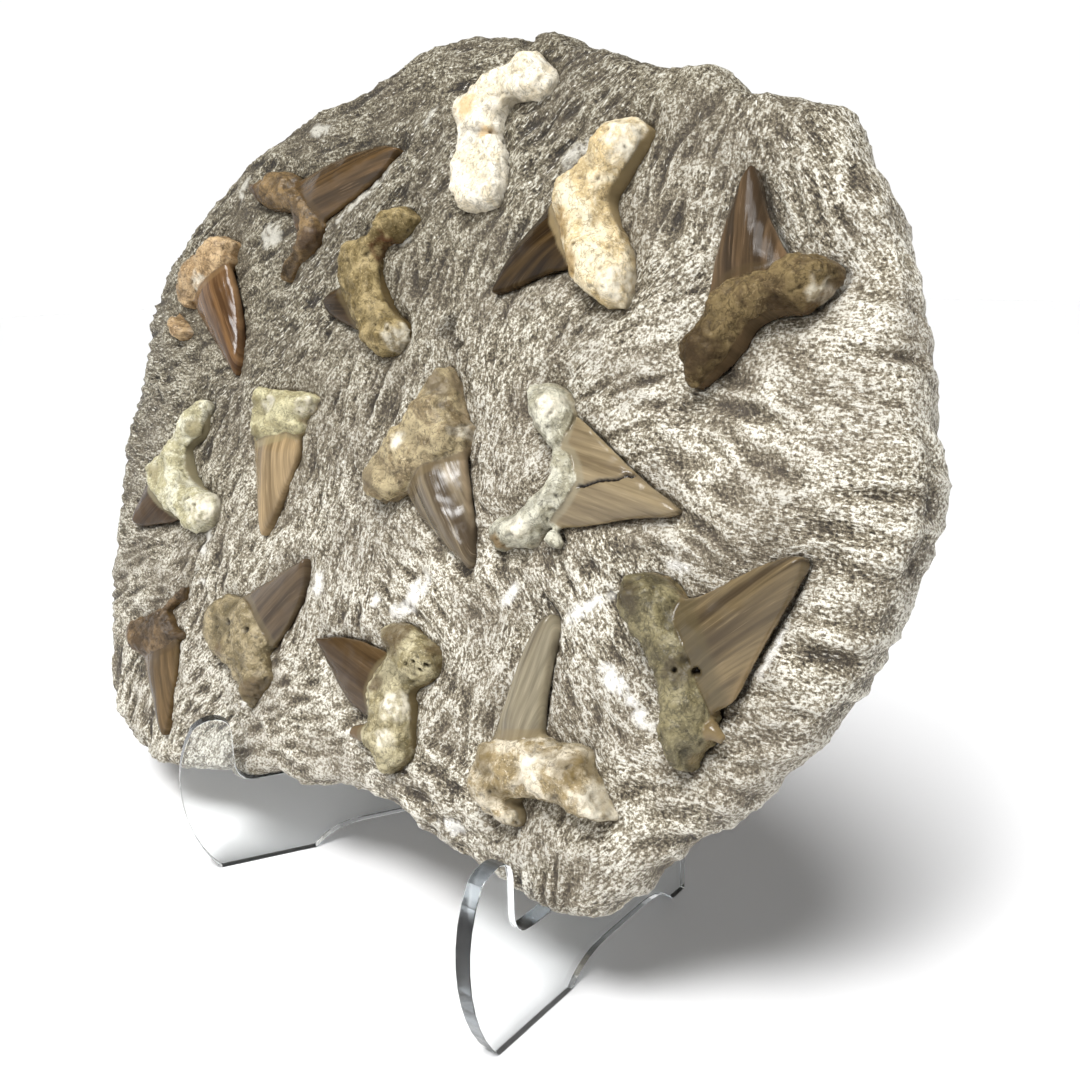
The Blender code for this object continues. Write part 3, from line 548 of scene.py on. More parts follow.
def root_loop(outline, shape, crown):
    """A root's outline on the face, from the outline that is seen.

    The side away from the eye is seen where its rounded top hides the rest, and the side
    over the crown at the height of the crown.
    """
    loop = curve_through(outline, 4, closed=True)
    ahead = np.roll(loop, -1, axis=0) - np.roll(loop, 1, axis=0)
    turning = np.sum(loop[:, 0] * np.roll(loop[:, 1], -1) - loop[:, 1] * np.roll(loop[:, 0], -1))
    out = np.stack((ahead[:, 1], -ahead[:, 0]), axis=1) * np.sign(turning)
    out /= np.linalg.norm(out, axis=1)[:, None]
    to_eye = EYE[:2] - loop
    lean = np.linalg.norm(to_eye, axis=1) / EYE[2]
    to_eye /= np.linalg.norm(to_eye, axis=1)[:, None]
    brow = shape["brow"]
    far_side = (np.hypot(lean * 0.85 * shape["high"], brow) - brow) / lean
    facing = (1 + np.sum(out * to_eye, axis=1)) / 2
    seen_at = far_side + (NEAR_SIDE - far_side) * facing
    if crown:
        height, along = crown.top(loop)[:2]
        over = np.maximum(seen_at, height + OVER_CROWN)
        seen_at = np.where(along > -1.5, over, seen_at)
    return EYE[:2] + (loop - EYE[:2]) * (1 - seen_at / EYE[2])[:, None]


def root_top(distance, shape):
    """Height of a root's smooth top at distances inside its outline."""
    share = np.clip(distance / shape["brow"], 0, 1)
    return np.where(distance < 0, -BURIED, shape["high"] * np.sqrt(1 - (1 - share) ** 2))


def triangular_grid(low, high, step):
    rows = []
    for row, v in enumerate(np.arange(low[1], high[1], step * math.sqrt(0.75))):
        us = np.arange(low[0] + (row % 2) * step / 2, high[0], step)
        rows.append(np.column_stack((us, np.full(len(us), v))))
    return np.vstack(rows)


def filled(loop, inner):
    """Triangles over a loop and the points inside it, in that order."""
    spots = [Vector(spot) for spot in np.vstack((loop[:, :2], inner[:, :2])).tolist()]
    edges = [(i, (i + 1) % len(loop)) for i in range(len(loop))]
    return [tuple(face) for face in delaunay_2d_cdt(spots, edges, [], 1, 1e-6)[2]]


def root_skin(loop, shape):
    """A root: a cushion on its outline, with a buried flat back."""
    grid = triangular_grid(loop.min(axis=0), loop.max(axis=0), ROOT_STEP)
    distance = loop_field(grid, loop)[0]
    grid, distance = grid[distance > 0.4], distance[distance > 0.4]
    faces = filled(loop, grid)
    flat = np.vstack((loop, grid))
    rise = np.concatenate((np.zeros(len(loop)), root_top(distance, shape)))
    size = len(flat)
    points = np.vstack((np.column_stack((flat, rise)),
                        np.column_stack((flat, np.full(size, -BURIED)))))
    skin = faces + [tuple(i + size for i in face[::-1]) for face in faces]
    for i in range(len(loop)):
        j = (i + 1) % len(loop)
        skin.append((j, i, i + size, j + size))
    return points, skin


class Crown:
    """A crown's outline in its own directions: along it from the base and across it."""

    def __init__(self, shape):
        left, right = (np.array([sight_line(spot, CROWN_READ_AT) for spot in shape[edge]])
                       for edge in ("left", "right"))
        self.base = (left[0] + right[0]) / 2
        self.tip = (left[-1] + right[-1]) / 2
        self.length = np.linalg.norm(self.tip - self.base)
        self.ahead = (self.tip - self.base) / self.length
        self.across = np.array((self.ahead[1], -self.ahead[0]))
        self.edges = [self.own(curve_through(edge, 6)) for edge in (left, right)]
        self.crest = shape["crest"]
        self.keel = shape["keel"]

    def own(self, spots):
        return np.stack(((spots[:, :2] - self.base) @ self.ahead,
                         (spots[:, :2] - self.base) @ self.across), axis=1)

    def span(self, along):
        """Middle and half width at distances along the crown."""
        sides = []
        for edge in self.edges:
            order = np.argsort(edge[:, 0])
            sides.append(np.interp(along, edge[order, 0], edge[order, 1]))
        low, high = np.minimum(*sides), np.maximum(*sides)
        return (low + high) / 2, (high - low) / 2

    def rise(self, along):
        """Height of the crest over the cutting edges."""
        left = np.clip(1 - along / self.length, 0, 1)
        return self.crest * left ** 0.55 * (0.55 + 0.45 * smooth(0, 10, along))

    def top(self, points):
        """Height of the crown's front at points of the face."""
        along, side = self.own(points).T
        middle, half = self.span(along)
        off = np.clip(np.abs(side - middle) / (half + 0.3), 0, 1)
        rise = CROWN_READ_AT + self.rise(along) * (1 - off ** self.keel)
        return np.where((off < 1) & (along < self.length + 0.5), rise, -BURIED), along, side, off

    def skin(self, sides=32):
        turn = np.arange(sides) / sides * 2 * math.pi
        wide, lift = np.cos(turn), np.sin(turn)
        profile = 1 - np.abs(wide) ** self.keel
        worn = self.length * (1 - TIP_WORN * (1 - np.sin(np.linspace(0, math.pi / 2, 6)[1:])))
        start = min(edge[0, 0] for edge in self.edges)
        steps = np.concatenate((np.linspace(start, self.length * (1 - TIP_WORN), 30),
                                worn - 0.01))
        middles, halves = self.span(steps)
        rings = []
        for along, middle, half in zip(steps, middles, halves):
            over = max(0, (along / self.length - 1 + TIP_WORN) / TIP_WORN)
            close = math.sqrt(1 - over * over)
            half = max(half - WALL, TIP_ROUND) * close
            up = (self.rise(along) + 0.5) * close
            down = (CROWN_READ_AT + BURIED) * close
            reach = np.where(lift > 0, wide, np.sign(wide) * np.abs(wide) ** 0.4)
            side = middle + half * reach
            spot = self.base + along * self.ahead + side[:, None] * self.across
            height = CROWN_READ_AT + np.where(lift > 0, profile * up, lift * down)
            rings.append(np.column_stack((spot, height)))
        return loft(rings)


def tooth_skin(shape, loops, crown):
    """Every skin of one tooth, as one list of points and faces."""
    skins = [root_skin(loop, shape) for loop in loops]
    if crown:
        skins.append(crown.skin())
    for foot, tip, radius in shape["cusps"]:
        ends = [(*sight_line(foot, CUSP_READ_AT), radius),
                (*sight_line(tip, CUSP_READ_AT), radius * 0.5)]
        skins.append(tube(curve_through(ends, 6), CUSP_HIGH))
    points, faces = [], []
    for skin, sides in skins:
        start = sum(len(p) for p in points)
        points.append(skin)
        faces += [tuple(start + i for i in face) for face in sides]
    return np.vstack(points), faces


def line_distance(points, line):
    """Distance of points from a line of (u, v) points, seen along h."""
    best = np.full(len(points), 1e9)
    for start, end in zip(line, line[1:]):
        start, end = np.array(start[:2], float), np.array(end[:2], float)
        run = end - start
        share = np.clip((points[:, :2] - start) @ run / (run @ run), 0, 1)
        best = np.minimum(best, np.linalg.norm(points[:, :2] - start - share[:, None] * run,
                                               axis=1))
    return best


def mesh_edges(mesh):
    flat = np.empty(len(mesh.edges) * 2, dtype=np.int32)
    mesh.edges.foreach_get("vertices", flat)
    return flat.reshape(-1, 2)


def relax(points, edges, weight, rounds):
    """Draw points towards the middle of their neighbours."""
    size = len(points)
    count = np.bincount(edges.ravel(), minlength=size)
    for _ in range(rounds):
        middle = np.empty_like(points)
        for axis in range(3):
            middle[:, axis] = (
                np.bincount(edges[:, 0], points[edges[:, 1], axis], size)
                + np.bincount(edges[:, 1], points[edges[:, 0], axis], size)) / count
        points = points + weight[:, None] * (middle - points)
    return points


def spots_at(points, spots):
    """How much each point lies in a list of round spots (u, v, radius)."""
    total = np.zeros(len(points))
    ragged = 0.35 * noise3(points / 2.2, seed=90)
    for u, v, radius in spots:
        middle = sight_line((u, v), STAIN_READ_AT)
        away = np.linalg.norm(points[:, :2] - middle, axis=1) / radius
        total = np.maximum(total, 1 - smooth(0.5, 1.1, away + ragged))
    return total


def join_skins(name, shape, loops, crown):
    """A tooth's skins joined by a voxel remesh: the piece, its points and its edges."""
    piece = new_object(name + "_fossil", *tooth_skin(shape, loops, crown))
    remesh = piece.modifiers.new("join", "REMESH")
    remesh.mode = "VOXEL"
    remesh.voxel_size = TOOTH_VOXEL * MM
    evaluated(piece)
    points = unplace(mesh_points(piece.data))
    edges = mesh_edges(piece.data)
    return piece, relax(points, edges, np.full(len(points), 0.5), 5), edges


def bone_share(points, shape, seed, over, inside):
    """How bony each point is. over: how far the root's top is above the crown there."""
    bone = smooth(-0.4, 0.4, np.minimum(over, inside + 0.3 * noise3(points / 2, seed)))
    if shape["bony"]:
        for foot, tip, radius in shape["cusps"]:
            line = [sight_line(foot, CUSP_READ_AT), sight_line(tip, CUSP_READ_AT)]
            near = line_distance(points, line)
            bone = np.maximum(bone, 1 - smooth(radius, radius + 0.8, near))
    return bone


def carved(points, top, shape, seed):
    """How deep creases, holes and a crack cut into a tooth, and how much painted shade darkens
    them.
    """
    cut = np.zeros(len(points))
    dark = np.zeros(len(points))
    for crease in shape["creases"]:
        line = [sight_line(spot, CREASE_READ_AT) for spot in crease]
        away = line_distance(points, line) + 0.5 * noise3(points / 1.6, seed)
        groove = np.exp(-(away / CREASE_WIDTH) ** 2)
        cut += CREASE_DEPTH * groove * top
        dark = np.maximum(dark, CREASE_DARK * groove)
    for u, v, radius in shape["holes"]:
        middle = sight_line((u, v), shape["high"] - HOLE_UNDER_TOP)
        away = np.linalg.norm(points[:, :2] - middle, axis=1)
        hole = (1 - smooth(radius * 0.7, radius * 1.3, away)) * top
        cut += HOLE_DEPTH * hole
        dark = np.maximum(dark, hole)
    if shape["crack"]:
        line = [sight_line(spot, CRACK_READ_AT) for spot in shape["crack"]]
        split = (1 - smooth(*CRACK_HALF, line_distance(points, line))) * top
        cut += CRACK_DEPTH * split
        dark = np.maximum(dark, CRACK_DARK * split)
    return cut, dark


def make_tooth(name, shape, seed):
    """One tooth: skins joined and blended, worn, and marked for its material."""
    crown = Crown(shape) if "left" in shape else None
    loops = [root_loop(outline, shape, crown) for outline in shape["roots"]]
    piece, points, edges = join_skins(name, shape, loops, crown)
    fields = [loop_field(points, loop) for loop in loops]
    inside = np.max([field[0] for field in fields], axis=0)
    run = np.sum([np.where(field[0] == inside, field[1], 0) for field in fields], axis=0)
    if crown:
        face, along, side, off = crown.top(points)
        bone = bone_share(points, shape, seed, root_top(inside, shape) - face, inside)
    else:
        along = side = off = np.zeros(len(points))
        bone = np.ones(len(points))
    seam = smooth(-3.0, -1.0, -np.abs(inside)) * (points[:, 2] > 1.0)
    points = relax(points, edges, 0.5 * seam, 8)
    move_points(piece, points)
    normals = point_normals(piece)
    lumps = LUMPS[1] * layered(points, LUMPS[0], 4, seed + 1)
    lumps += SMALL_LUMPS[1] * noise3(points / SMALL_LUMPS[0], seed + 3)
    ribbed = np.column_stack((run / FOLD_SIZE[0], inside / FOLD_SIZE[1], run * 0))
    folds = shape["folds"] * noise3(ribbed, seed + 4)
    pits = PITS[1] * smooth(0.4, 0.8, noise3(points / PITS[0], seed + 6))
    striped = np.column_stack((side / RIB_SIZE[0], along / RIB_SIZE[1], side * 0))
    ribs = RIB_HIGH * noise3(striped, seed + 7)
    wear = WEAR[1] * layered(points, WEAR[0], 2, seed + 8)
    cut, dark = carved(points, smooth(-0.1, 0.4, normals[:, 2]), shape, seed)
    move = bone * (lumps + folds - pits) + (1 - bone) * (ribs + wear) - cut
    points = points + normals * move[:, None]
    move_points(piece, points)
    waver = noise3(points / 2.6, seed)
    neck = 1 - smooth(0.6, 1.0, -inside / shape["neck"] + 0.12 * waver)
    # painted shade: the root is darker low down, where it meets the matrix, and in the hollows of
    # its lumps
    low = 0.42 * (1 - smooth(0.0, 2.4, points[:, 2] + 1.1 * waver))
    low += 0.7 * np.clip(-lumps, 0, 1)
    marks = {
        "bone": bone,
        # dark: painted shade in the creases, holes, crack and pits
        "dark": np.clip(np.maximum(dark, 0.8 * pits * bone), 0, 1),
        "along": along,
        "side": side,
        "neck": (1 - bone) * neck,
        "edge": smooth(0.82, 1.0, off) * (1 - bone),
        # low: painted shade on the root's lower flanks and in its hollows
        "low": np.clip(low, 0, 1) * bone,
        "pale": spots_at(points, shape["pale"]),
        "deep": spots_at(points, shape["deep"]),
    }
    for mark, values in marks.items():
        set_values(piece, mark, values)
    piece.data.shade_smooth()
    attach(piece, "root")
    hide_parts(name)
    piece.data.materials.clear()
    piece.data.materials.append(tooth_material(name, shape, seed))
    return piece


# Materials


def colour(code):
    """A colour from its usual six-digit code, as linear values."""
    parts = [int(code[i:i + 2], 16) / 255 for i in (0, 2, 4)]
    linear = [p / 12.92 if p <= 0.04045 else ((p + 0.055) / 1.055) ** 2.4 for p in parts]
    return (*linear, 1)


def scaled(shade, strength, lift=0.0):
    """A colour made darker or paler."""
    return (*[min(1, part * strength + lift) for part in shade[:3]], 1)


class Graph:
    """A short way to write a material's nodes."""

    def __init__(self, name):
        self.material = bpy.data.materials.new(name)
        self.material.use_nodes = True
        self.nodes = self.material.node_tree.nodes
        self.links = self.material.node_tree.links
        self.shader = self.nodes["Principled BSDF"]

    def put(self, socket, value):
        if hasattr(value, "is_linked"):
            self.links.new(value, socket)
        elif value is not None:
            socket.default_value = value

    def node(self, kind, **settings):
        made = self.nodes.new(kind)
        for key, value in settings.items():
            setattr(made, key, value)
        return made

    def value(self, name):
        return self.node("ShaderNodeAttribute", attribute_name=name).outputs["Fac"]

    def place(self, scale=(1, 1, 1)):
        """Object coordinates in millimetres, stretched."""
        where = self.node("ShaderNodeTexCoord").outputs["Object"]
        turn = self.node("ShaderNodeVectorMath", operation="MULTIPLY")
        self.put(turn.inputs[0], where)
        turn.inputs[1].default_value = [1000 * s for s in scale]
        return turn.outputs[0]

    def noise(self, where, scale, detail=3.0, rough=0.55, warp=0.0):
        made = self.node("ShaderNodeTexNoise")
        for key, value in (("Vector", where), ("Scale", scale), ("Detail", detail),
                           ("Roughness", rough), ("Distortion", warp)):
            self.put(made.inputs[key], value)
        return made.outputs["Fac"]

    def span(self, value, low, high, to_low=0.0, to_high=1.0):
        """A value's place between two others, eased and given two new ends."""
        made = self.node("ShaderNodeMapRange", interpolation_type="SMOOTHSTEP")
        for key, number in (("Value", value), ("From Min", low), ("From Max", high),
                            ("To Min", to_low), ("To Max", to_high)):
            self.put(made.inputs[key], number)
        return made.outputs["Result"]

    def math(self, how, a, b=None):
        made = self.node("ShaderNodeMath", operation=how)
        self.put(made.inputs[0], a)
        self.put(made.inputs[1], b)
        return made.outputs[0]

    def times(self, a, b):
        return self.math("MULTIPLY", a, b)

    def plus(self, a, b):
        return self.math("ADD", a, b)

    def mix(self, share, a, b, how="MIX"):
        made = self.node("ShaderNodeMix", data_type="RGBA", blend_type=how)
        self.put(made.inputs["Factor"], share)
        self.put(made.inputs[6], a)
        self.put(made.inputs[7], b)
        return made.outputs[2]

    def layers(self, shade, *coats):
        """A colour under coats, each given as how much it covers and its own colour."""
        for share, coat in coats:
            shade = self.mix(share, shade, coat)
        return shade

    def bump(self, height, strength, distance, below=None):
        made = self.node("ShaderNodeBump")
        self.put(made.inputs["Height"], height)
        made.inputs["Strength"].default_value = strength
        made.inputs["Distance"].default_value = distance * MM
        self.put(made.inputs["Normal"], below)
        return made.outputs["Normal"]


def enamel_colour(graph, shape, seed):
    """Enamel streaked along the crown, duller at its neck. Also the streaks themselves."""
    flow = graph.node("ShaderNodeCombineXYZ")
    graph.put(flow.inputs[0], graph.times(graph.value("side"), 1.5))
    graph.put(flow.inputs[1], graph.times(graph.value("along"), 0.07))
    flow.inputs[2].default_value = seed * 5.0
    streak = graph.noise(flow.outputs[0], 1.0, 3.0, 0.6, 0.25)
    cloud = graph.noise(flow.outputs[0], 0.3, 2.0, 0.5, 0.4)
    deep, pale = (colour(code) for code in shape["enamel"])
    collar = graph.mix(0.45, colour(shape["bone"][1]), deep)
    shade = graph.layers(
        deep,
        (graph.span(cloud, 0.3, 0.7), pale),
        (graph.span(streak, 0.42, 0.66, 0.0, 0.3), scaled(deep, 0.45)),
        (graph.span(streak, 0.42, 0.3, 0.0, 0.35), scaled(pale, 1.5, 0.02)),
        (graph.times(graph.value("edge"), 0.45), colour(shape["rim"])),
        (graph.times(graph.value("neck"), 0.6), collar))
    return shade, streak


def root_colour(graph, where, grit, shape):
    """A root in two tones, with blotches, grit, veins and its own stains, and painted shade low
    down and in its hollows.
    """
    first, second = (colour(code) for code in shape["bone"])
    # a dark tone for the stains, and for the painted shade low on the root
    stain_and_shade = scaled(second, 0.25)
    tone = graph.noise(where, 0.16, 4.0, 0.6, 0.8)
    blotch = graph.noise(where, 0.4, 4.0, 0.65, 0.5)
    vein = graph.math("SUBTRACT", graph.noise(where, 0.3, 3.0, 0.6, 0.6), 0.5)
    vein = graph.math("ABSOLUTE", vein)
    patchy = graph.span(graph.noise(where, 0.5, 4.0, 0.65), 0.38, 0.6, 0.2, 0.85)
    return graph.layers(
        first,
        (graph.span(tone, 0.4, 0.6), second),
        (graph.span(blotch, 0.56, 0.7, 0.0, 0.45), stain_and_shade),
        (graph.span(grit, 0.55, 0.68, 0.0, 0.5), stain_and_shade),
        (graph.span(grit, 0.44, 0.32, 0.0, 0.6), scaled(first, 1.3, 0.03)),
        (graph.span(vein, 0.0, 0.035, 0.55, 0.0), stain_and_shade),
        (graph.times(graph.value("deep"), 0.75), colour(shape["stain"])),
        (graph.times(graph.value("pale"), patchy), colour(ROOT_PALE)),
        # painted shade low on the root and in its hollows
        (graph.times(graph.value("low"), 0.75), stain_and_shade))


def tooth_material(name, shape, seed):
    """Glossy striated enamel and a stained root, parted by the mesh's own marks."""
    graph = Graph(name + "_look")
    shift = graph.node("ShaderNodeVectorMath", operation="ADD")
    graph.put(shift.inputs[0], graph.place())
    shift.inputs[1].default_value = (seed * 7.0, seed * 3.0, 0)
    where = shift.outputs[0]
    bone = graph.value("bone")
    grit = graph.noise(where, 1.7, 3.0, 0.65)
    enamel, streak = enamel_colour(graph, shape, seed)
    # painted shade: creases, holes, the crack and pits darkened nearly to black
    shade = graph.layers(enamel, (bone, root_colour(graph, where, grit, shape)),
                         (graph.value("dark"), colour(CUT_SHADE_TONE)))
    graph.put(graph.shader.inputs["Base Color"], shade)
    rough = graph.node("ShaderNodeMix", data_type="FLOAT")
    graph.put(rough.inputs["Factor"], bone)
    graph.put(rough.inputs[2], graph.span(graph.noise(where, 0.6, 3.0), 0.3, 0.7, 0.1, 0.24))
    graph.put(rough.inputs[3], graph.span(grit, 0.3, 0.7, 0.3, 0.55))
    graph.put(graph.shader.inputs["Roughness"], rough.outputs[0])
    graph.shader.inputs["Specular IOR Level"].default_value = shape["shine"]
    ribs = graph.times(streak, graph.math("SUBTRACT", 1.0, bone))
    height = graph.plus(graph.times(ribs, 0.3), graph.times(grit, bone))
    graph.put(graph.shader.inputs["Normal"], graph.bump(height, 0.5, 0.45))
    return graph.material


def scribed(graph):
    """Streaks along the chisel marks: four directions, mixed by where the face is."""
    total = None
    for degrees, mark, sign in ((0, "turn_cos", 1), (45, "turn_sin", 1),
                                (90, "turn_cos", -1), (135, "turn_sin", -1)):
        turn = math.radians(degrees)
        ahead = Vector((math.cos(turn), math.sin(turn) * math.sin(LEAN),
                        math.sin(turn) * math.cos(LEAN)))
        out = Vector((0, -math.cos(LEAN), math.sin(LEAN)))
        axes = Matrix((ahead, out.cross(ahead), out)).transposed()
        stretch = graph.node("ShaderNodeMapping", vector_type="TEXTURE")
        graph.put(stretch.inputs["Vector"],
                  graph.node("ShaderNodeTexCoord").outputs["Object"])
        stretch.inputs["Rotation"].default_value = axes.to_euler()
        stretch.inputs["Scale"].default_value = [size * MM for size in STREAK]
        streak = graph.noise(stretch.outputs[0], 1.0, 3.0, 0.6, 0.3)
        share = graph.math("MAXIMUM", graph.times(graph.value(mark), sign), 0.0)
        part = graph.times(graph.times(share, share), streak)
        total = part if total is None else graph.plus(total, part)
    return total


def matrix_material():
    """Sandy phosphate: glinting pale and dark grains along the chisel marks, painted glints on its
    streaks, chalky patches, ridges painted lighter as highlight, and painted shade in the grooves,
    round the teeth and towards the upper left.
    """
    graph = Graph("matrix_look")
    where = graph.place()
    grain = graph.noise(where, 1.3, 3.0, 0.75)
    fine = graph.noise(where, 2.4, 2.0, 0.6)
    broad = graph.noise(where, 0.05, 4.0, 0.6)
    ridge, falloff_shade = graph.value("ridge"), graph.value("falloff_shade")
    streak = scribed(graph)
    tone = graph.plus(graph.times(streak, 0.42), graph.times(grain, 0.58))
    # painted highlight: grains lighter on the chisel ridges and on the slab's side
    tone = graph.plus(tone, graph.times(ridge, 0.1))
    # painted shade: grains a little darker towards the upper left
    tone = graph.math("SUBTRACT", tone, graph.times(falloff_shade, 0.03))
    ramp = graph.node("ShaderNodeValToRGB")
    graph.put(ramp.inputs[0], tone)
    while len(ramp.color_ramp.elements) < len(GRAINS):
        ramp.color_ramp.elements.new(0.5)
    for element, (spot, code) in zip(ramp.color_ramp.elements, GRAINS):
        element.position = spot
        element.color = colour(code)
    powder = graph.times(graph.value("chalk"), graph.span(grain, 0.3, 0.5, 0.5, 1.0))
    shade = graph.layers(
        ramp.outputs[0],
        (graph.span(broad, 0.38, 0.62, 0.0, 0.35), colour(DUST_TONE)),
        (powder, colour(CHALK_TONE)),
        # painted shade in the chisel grooves and in the bites of the side
        (graph.span(ridge, -0.1, -0.8, 0.0, 0.35), colour(GROOVE_SHADE_TONE)),
        (graph.times(graph.value("near"), 0.35), colour(SHADE_TONE)))
    # painted shade: the colour darkened towards the upper left, where the light falls off
    shade = graph.mix(graph.times(falloff_shade, 0.6), shade, colour(FALLOFF_SHADE_TONE), "MULTIPLY")
    # painted glints: pale lines where the chisel streaks are strongest
    shade = graph.mix(graph.span(streak, 0.6, 0.68, 0.0, 0.8), shade, colour(GLINT_TONE))
    graph.put(graph.shader.inputs["Base Color"], shade)
    graph.put(graph.shader.inputs["Roughness"], graph.span(fine, 0.3, 0.7, 0.38, 0.75))
    coarse = graph.bump(graph.plus(streak, graph.times(grain, 0.7)), 1.0, 0.9)
    graph.put(graph.shader.inputs["Normal"], graph.bump(fine, 0.7, 0.3, coarse))
    return graph.material


def acrylic_material(name, tint, rough):
    """Clear acrylic, a little rougher here and there with dust."""
    graph = Graph(name)
    shader = graph.shader
    shader.inputs["Base Color"].default_value = (*tint, 1)
    shader.inputs["Transmission Weight"].default_value = 1.0
    shader.inputs["IOR"].default_value = ACRYLIC_INDEX
    dust = graph.noise(graph.place(), 0.5, 3.0)
    graph.put(shader.inputs["Roughness"], graph.span(dust, 0.4, 0.8, rough, rough + 0.04))
    return graph.material


# Slab


def cad_outline():
    """The CAD slab's reach from CENTRE in each of its columns' directions."""
    points = unplace(mesh_points(bpy.data.objects[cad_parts["matrix_slab"].name].data))
    spoke = points[:, :2] - CENTRE
    angle = np.arctan2(spoke[:, 1], spoke[:, 0])
    column = np.round(angle / (2 * math.pi) * COLUMNS).astype(int) % COLUMNS
    reach = np.zeros(COLUMNS)
    np.maximum.at(reach, column, np.linalg.norm(spoke, axis=1))
    return reach


def outline_reach(angle, reach):
    """The outline's distance from CENTRE in any direction."""
    knots = np.arange(COLUMNS) / COLUMNS * 2 * math.pi
    return np.interp(angle, knots, reach, period=2 * math.pi)


def roll_of(angle):
    """How much wider the rim rolls over in a direction."""
    return 1 + ROLL * np.maximum(0, np.cos(angle + ROLL_TURN))


def rim_ring(inset, depth, reach, rolled):
    """One loop of points round the slab."""
    angle = np.arange(RIM_POINTS) / RIM_POINTS * 2 * math.pi
    radius = outline_reach(angle, reach) - inset * (roll_of(angle) if rolled else 1)
    return np.column_stack((CENTRE[0] + radius * np.cos(angle),
                            CENTRE[1] + radius * np.sin(angle), np.full(RIM_POINTS, -depth)))


def cap(loop, step):
    """Points inside one of the slab's loops and the faces that join them to it."""
    grid = triangular_grid(loop[:, :2].min(axis=0), loop[:, :2].max(axis=0), step)
    spoke = grid - CENTRE
    knots = np.arange(RIM_POINTS) / RIM_POINTS * 2 * math.pi
    limit = np.interp(np.arctan2(spoke[:, 1], spoke[:, 0]), knots,
                      np.linalg.norm(loop[:, :2] - CENTRE, axis=1), period=2 * math.pi)
    inner = grid[np.linalg.norm(spoke, axis=1) < limit - 0.6 * step]
    return inner, filled(loop, inner)


def ring_angle(points):
    return np.arctan2(points[:, 1] - CENTRE[1], points[:, 0] - CENTRE[0])


def inset_of(points, reach):
    """How far points lie inside the slab's outline."""
    return outline_reach(ring_angle(points), reach) - np.linalg.norm(points - CENTRE, axis=1)


def slab_skin(reach):
    """The smooth slab: face, side and back in one closed skin."""
    loops = [rim_ring(1, 6, reach, True)]
    loops += [rim_ring(inset, depth, reach, depth < SIDE_DEPTH) for inset, depth in SIDE_RIM]
    front, front_faces = cap(loops[0], FACE_STEP)
    back, back_faces = cap(loops[-1], BACK_STEP)
    drop = np.interp(inset_of(front, reach) / roll_of(ring_angle(front)), *np.array(FACE_RIM).T)
    sink = np.interp(inset_of(back, reach), *np.array(BACK_RIM).T)
    points = np.vstack(loops + [np.column_stack((front, -drop)),
                                np.column_stack((back, -sink))])
    ring = RIM_POINTS
    first_inner = ring * len(loops)
    last_loop = first_inner - ring
    second_inner = first_inner + len(front)
    faces = []
    for face in front_faces:
        faces.append(tuple(i if i < ring else i - ring + first_inner for i in face))
    for row in range(len(loops) - 1):
        for i in range(ring):
            j = (i + 1) % ring
            low, high = row * ring, (row + 1) * ring
            faces.append((low + j, low + i, high + i, high + j))
    for face in back_faces:
        turned = [i + last_loop if i < ring else i - ring + second_inner for i in face]
        faces.append(tuple(turned[::-1]))
    return points, faces


def chisel_marks(points):
    """Height of the chisel marks on the face, their ridges, and twice their direction."""
    flat = points[:, :2]
    bend = 1.6 * np.column_stack((noise3(points / 14, seed=40), noise3(points / 14, seed=41)))
    total = np.zeros(len(points))
    crest = np.zeros(len(points))
    weights = np.zeros(len(points))
    turns = np.zeros((len(points), 2))
    for index, (u, v, degrees, spacing, depth) in enumerate(MARKS):
        away = np.linalg.norm(flat - (u, v), axis=1)
        weight = np.exp(-(away / MARK_REACH) ** 2)
        near = weight > 0.004
        turn = math.radians(degrees)
        run = (flat[near] + bend[near]) @ (math.cos(turn), math.sin(turn))
        cross = (flat[near] + bend[near]) @ (-math.sin(turn), math.cos(turn))
        grid = np.column_stack((run / spacing / MARK_LENGTH, cross / spacing,
                                np.full(near.sum(), index * 3.7)))
        mark = 1 - 2.4 * np.abs(noise3(grid, seed=50))
        total[near] += weight[near] * depth * mark
        crest[near] += weight[near] * mark
        weights[near] += weight[near]
        turns += weight[:, None] * (math.cos(2 * turn), math.sin(2 * turn))
    turns += 1e-6
    turns /= np.linalg.norm(turns, axis=1)[:, None]
    weights = np.maximum(weights, 0.05)
    return MARK_DEPTH * total / weights, crest / weights, turns


def chalk_of(points):
    """How chalky each point of the face is."""
    total = np.zeros(len(points))
    for u, v, long, wide, degrees in CHALK:
        turn = math.radians(degrees)
        run = (points[:, :2] - (u, v)) @ (math.cos(turn), math.sin(turn)) / long
        cross = (points[:, :2] - (u, v)) @ (-math.sin(turn), math.cos(turn)) / wide
        total = np.maximum(total, 1 - smooth(0.6, 1.2, np.hypot(run, cross)))
    return total * smooth(0.5, 0.8, total + 1.1 * layered(points, 2.2, 4, seed=70))


def teeth_near(points, teeth):
    """Distance to the nearest tooth, below 0 inside it, and which tooth it is."""
    corners, sides, owner = [], [], []
    start = 0
    for index, tooth in enumerate(teeth):
        mesh = tooth.data
        corners += mesh_points(mesh).tolist()
        for face in mesh.polygons:
            sides.append([start + i for i in face.vertices])
            owner.append(index)
        start += len(mesh.vertices)
    tree = BVHTree.FromPolygons(corners, sides)
    away = np.full(len(points), FAR)
    which = np.zeros(len(points), int)
    for index, spot in enumerate(place(points)):
        hit, normal, face, distance = tree.find_nearest(Vector(spot), 12 * MM)
        if hit is None:
            continue
        inside = (Vector(spot) - hit).dot(normal) < 0
        away[index] = distance / MM * (-1 if inside else 1)
        which[index] = owner[face]
    return away, which


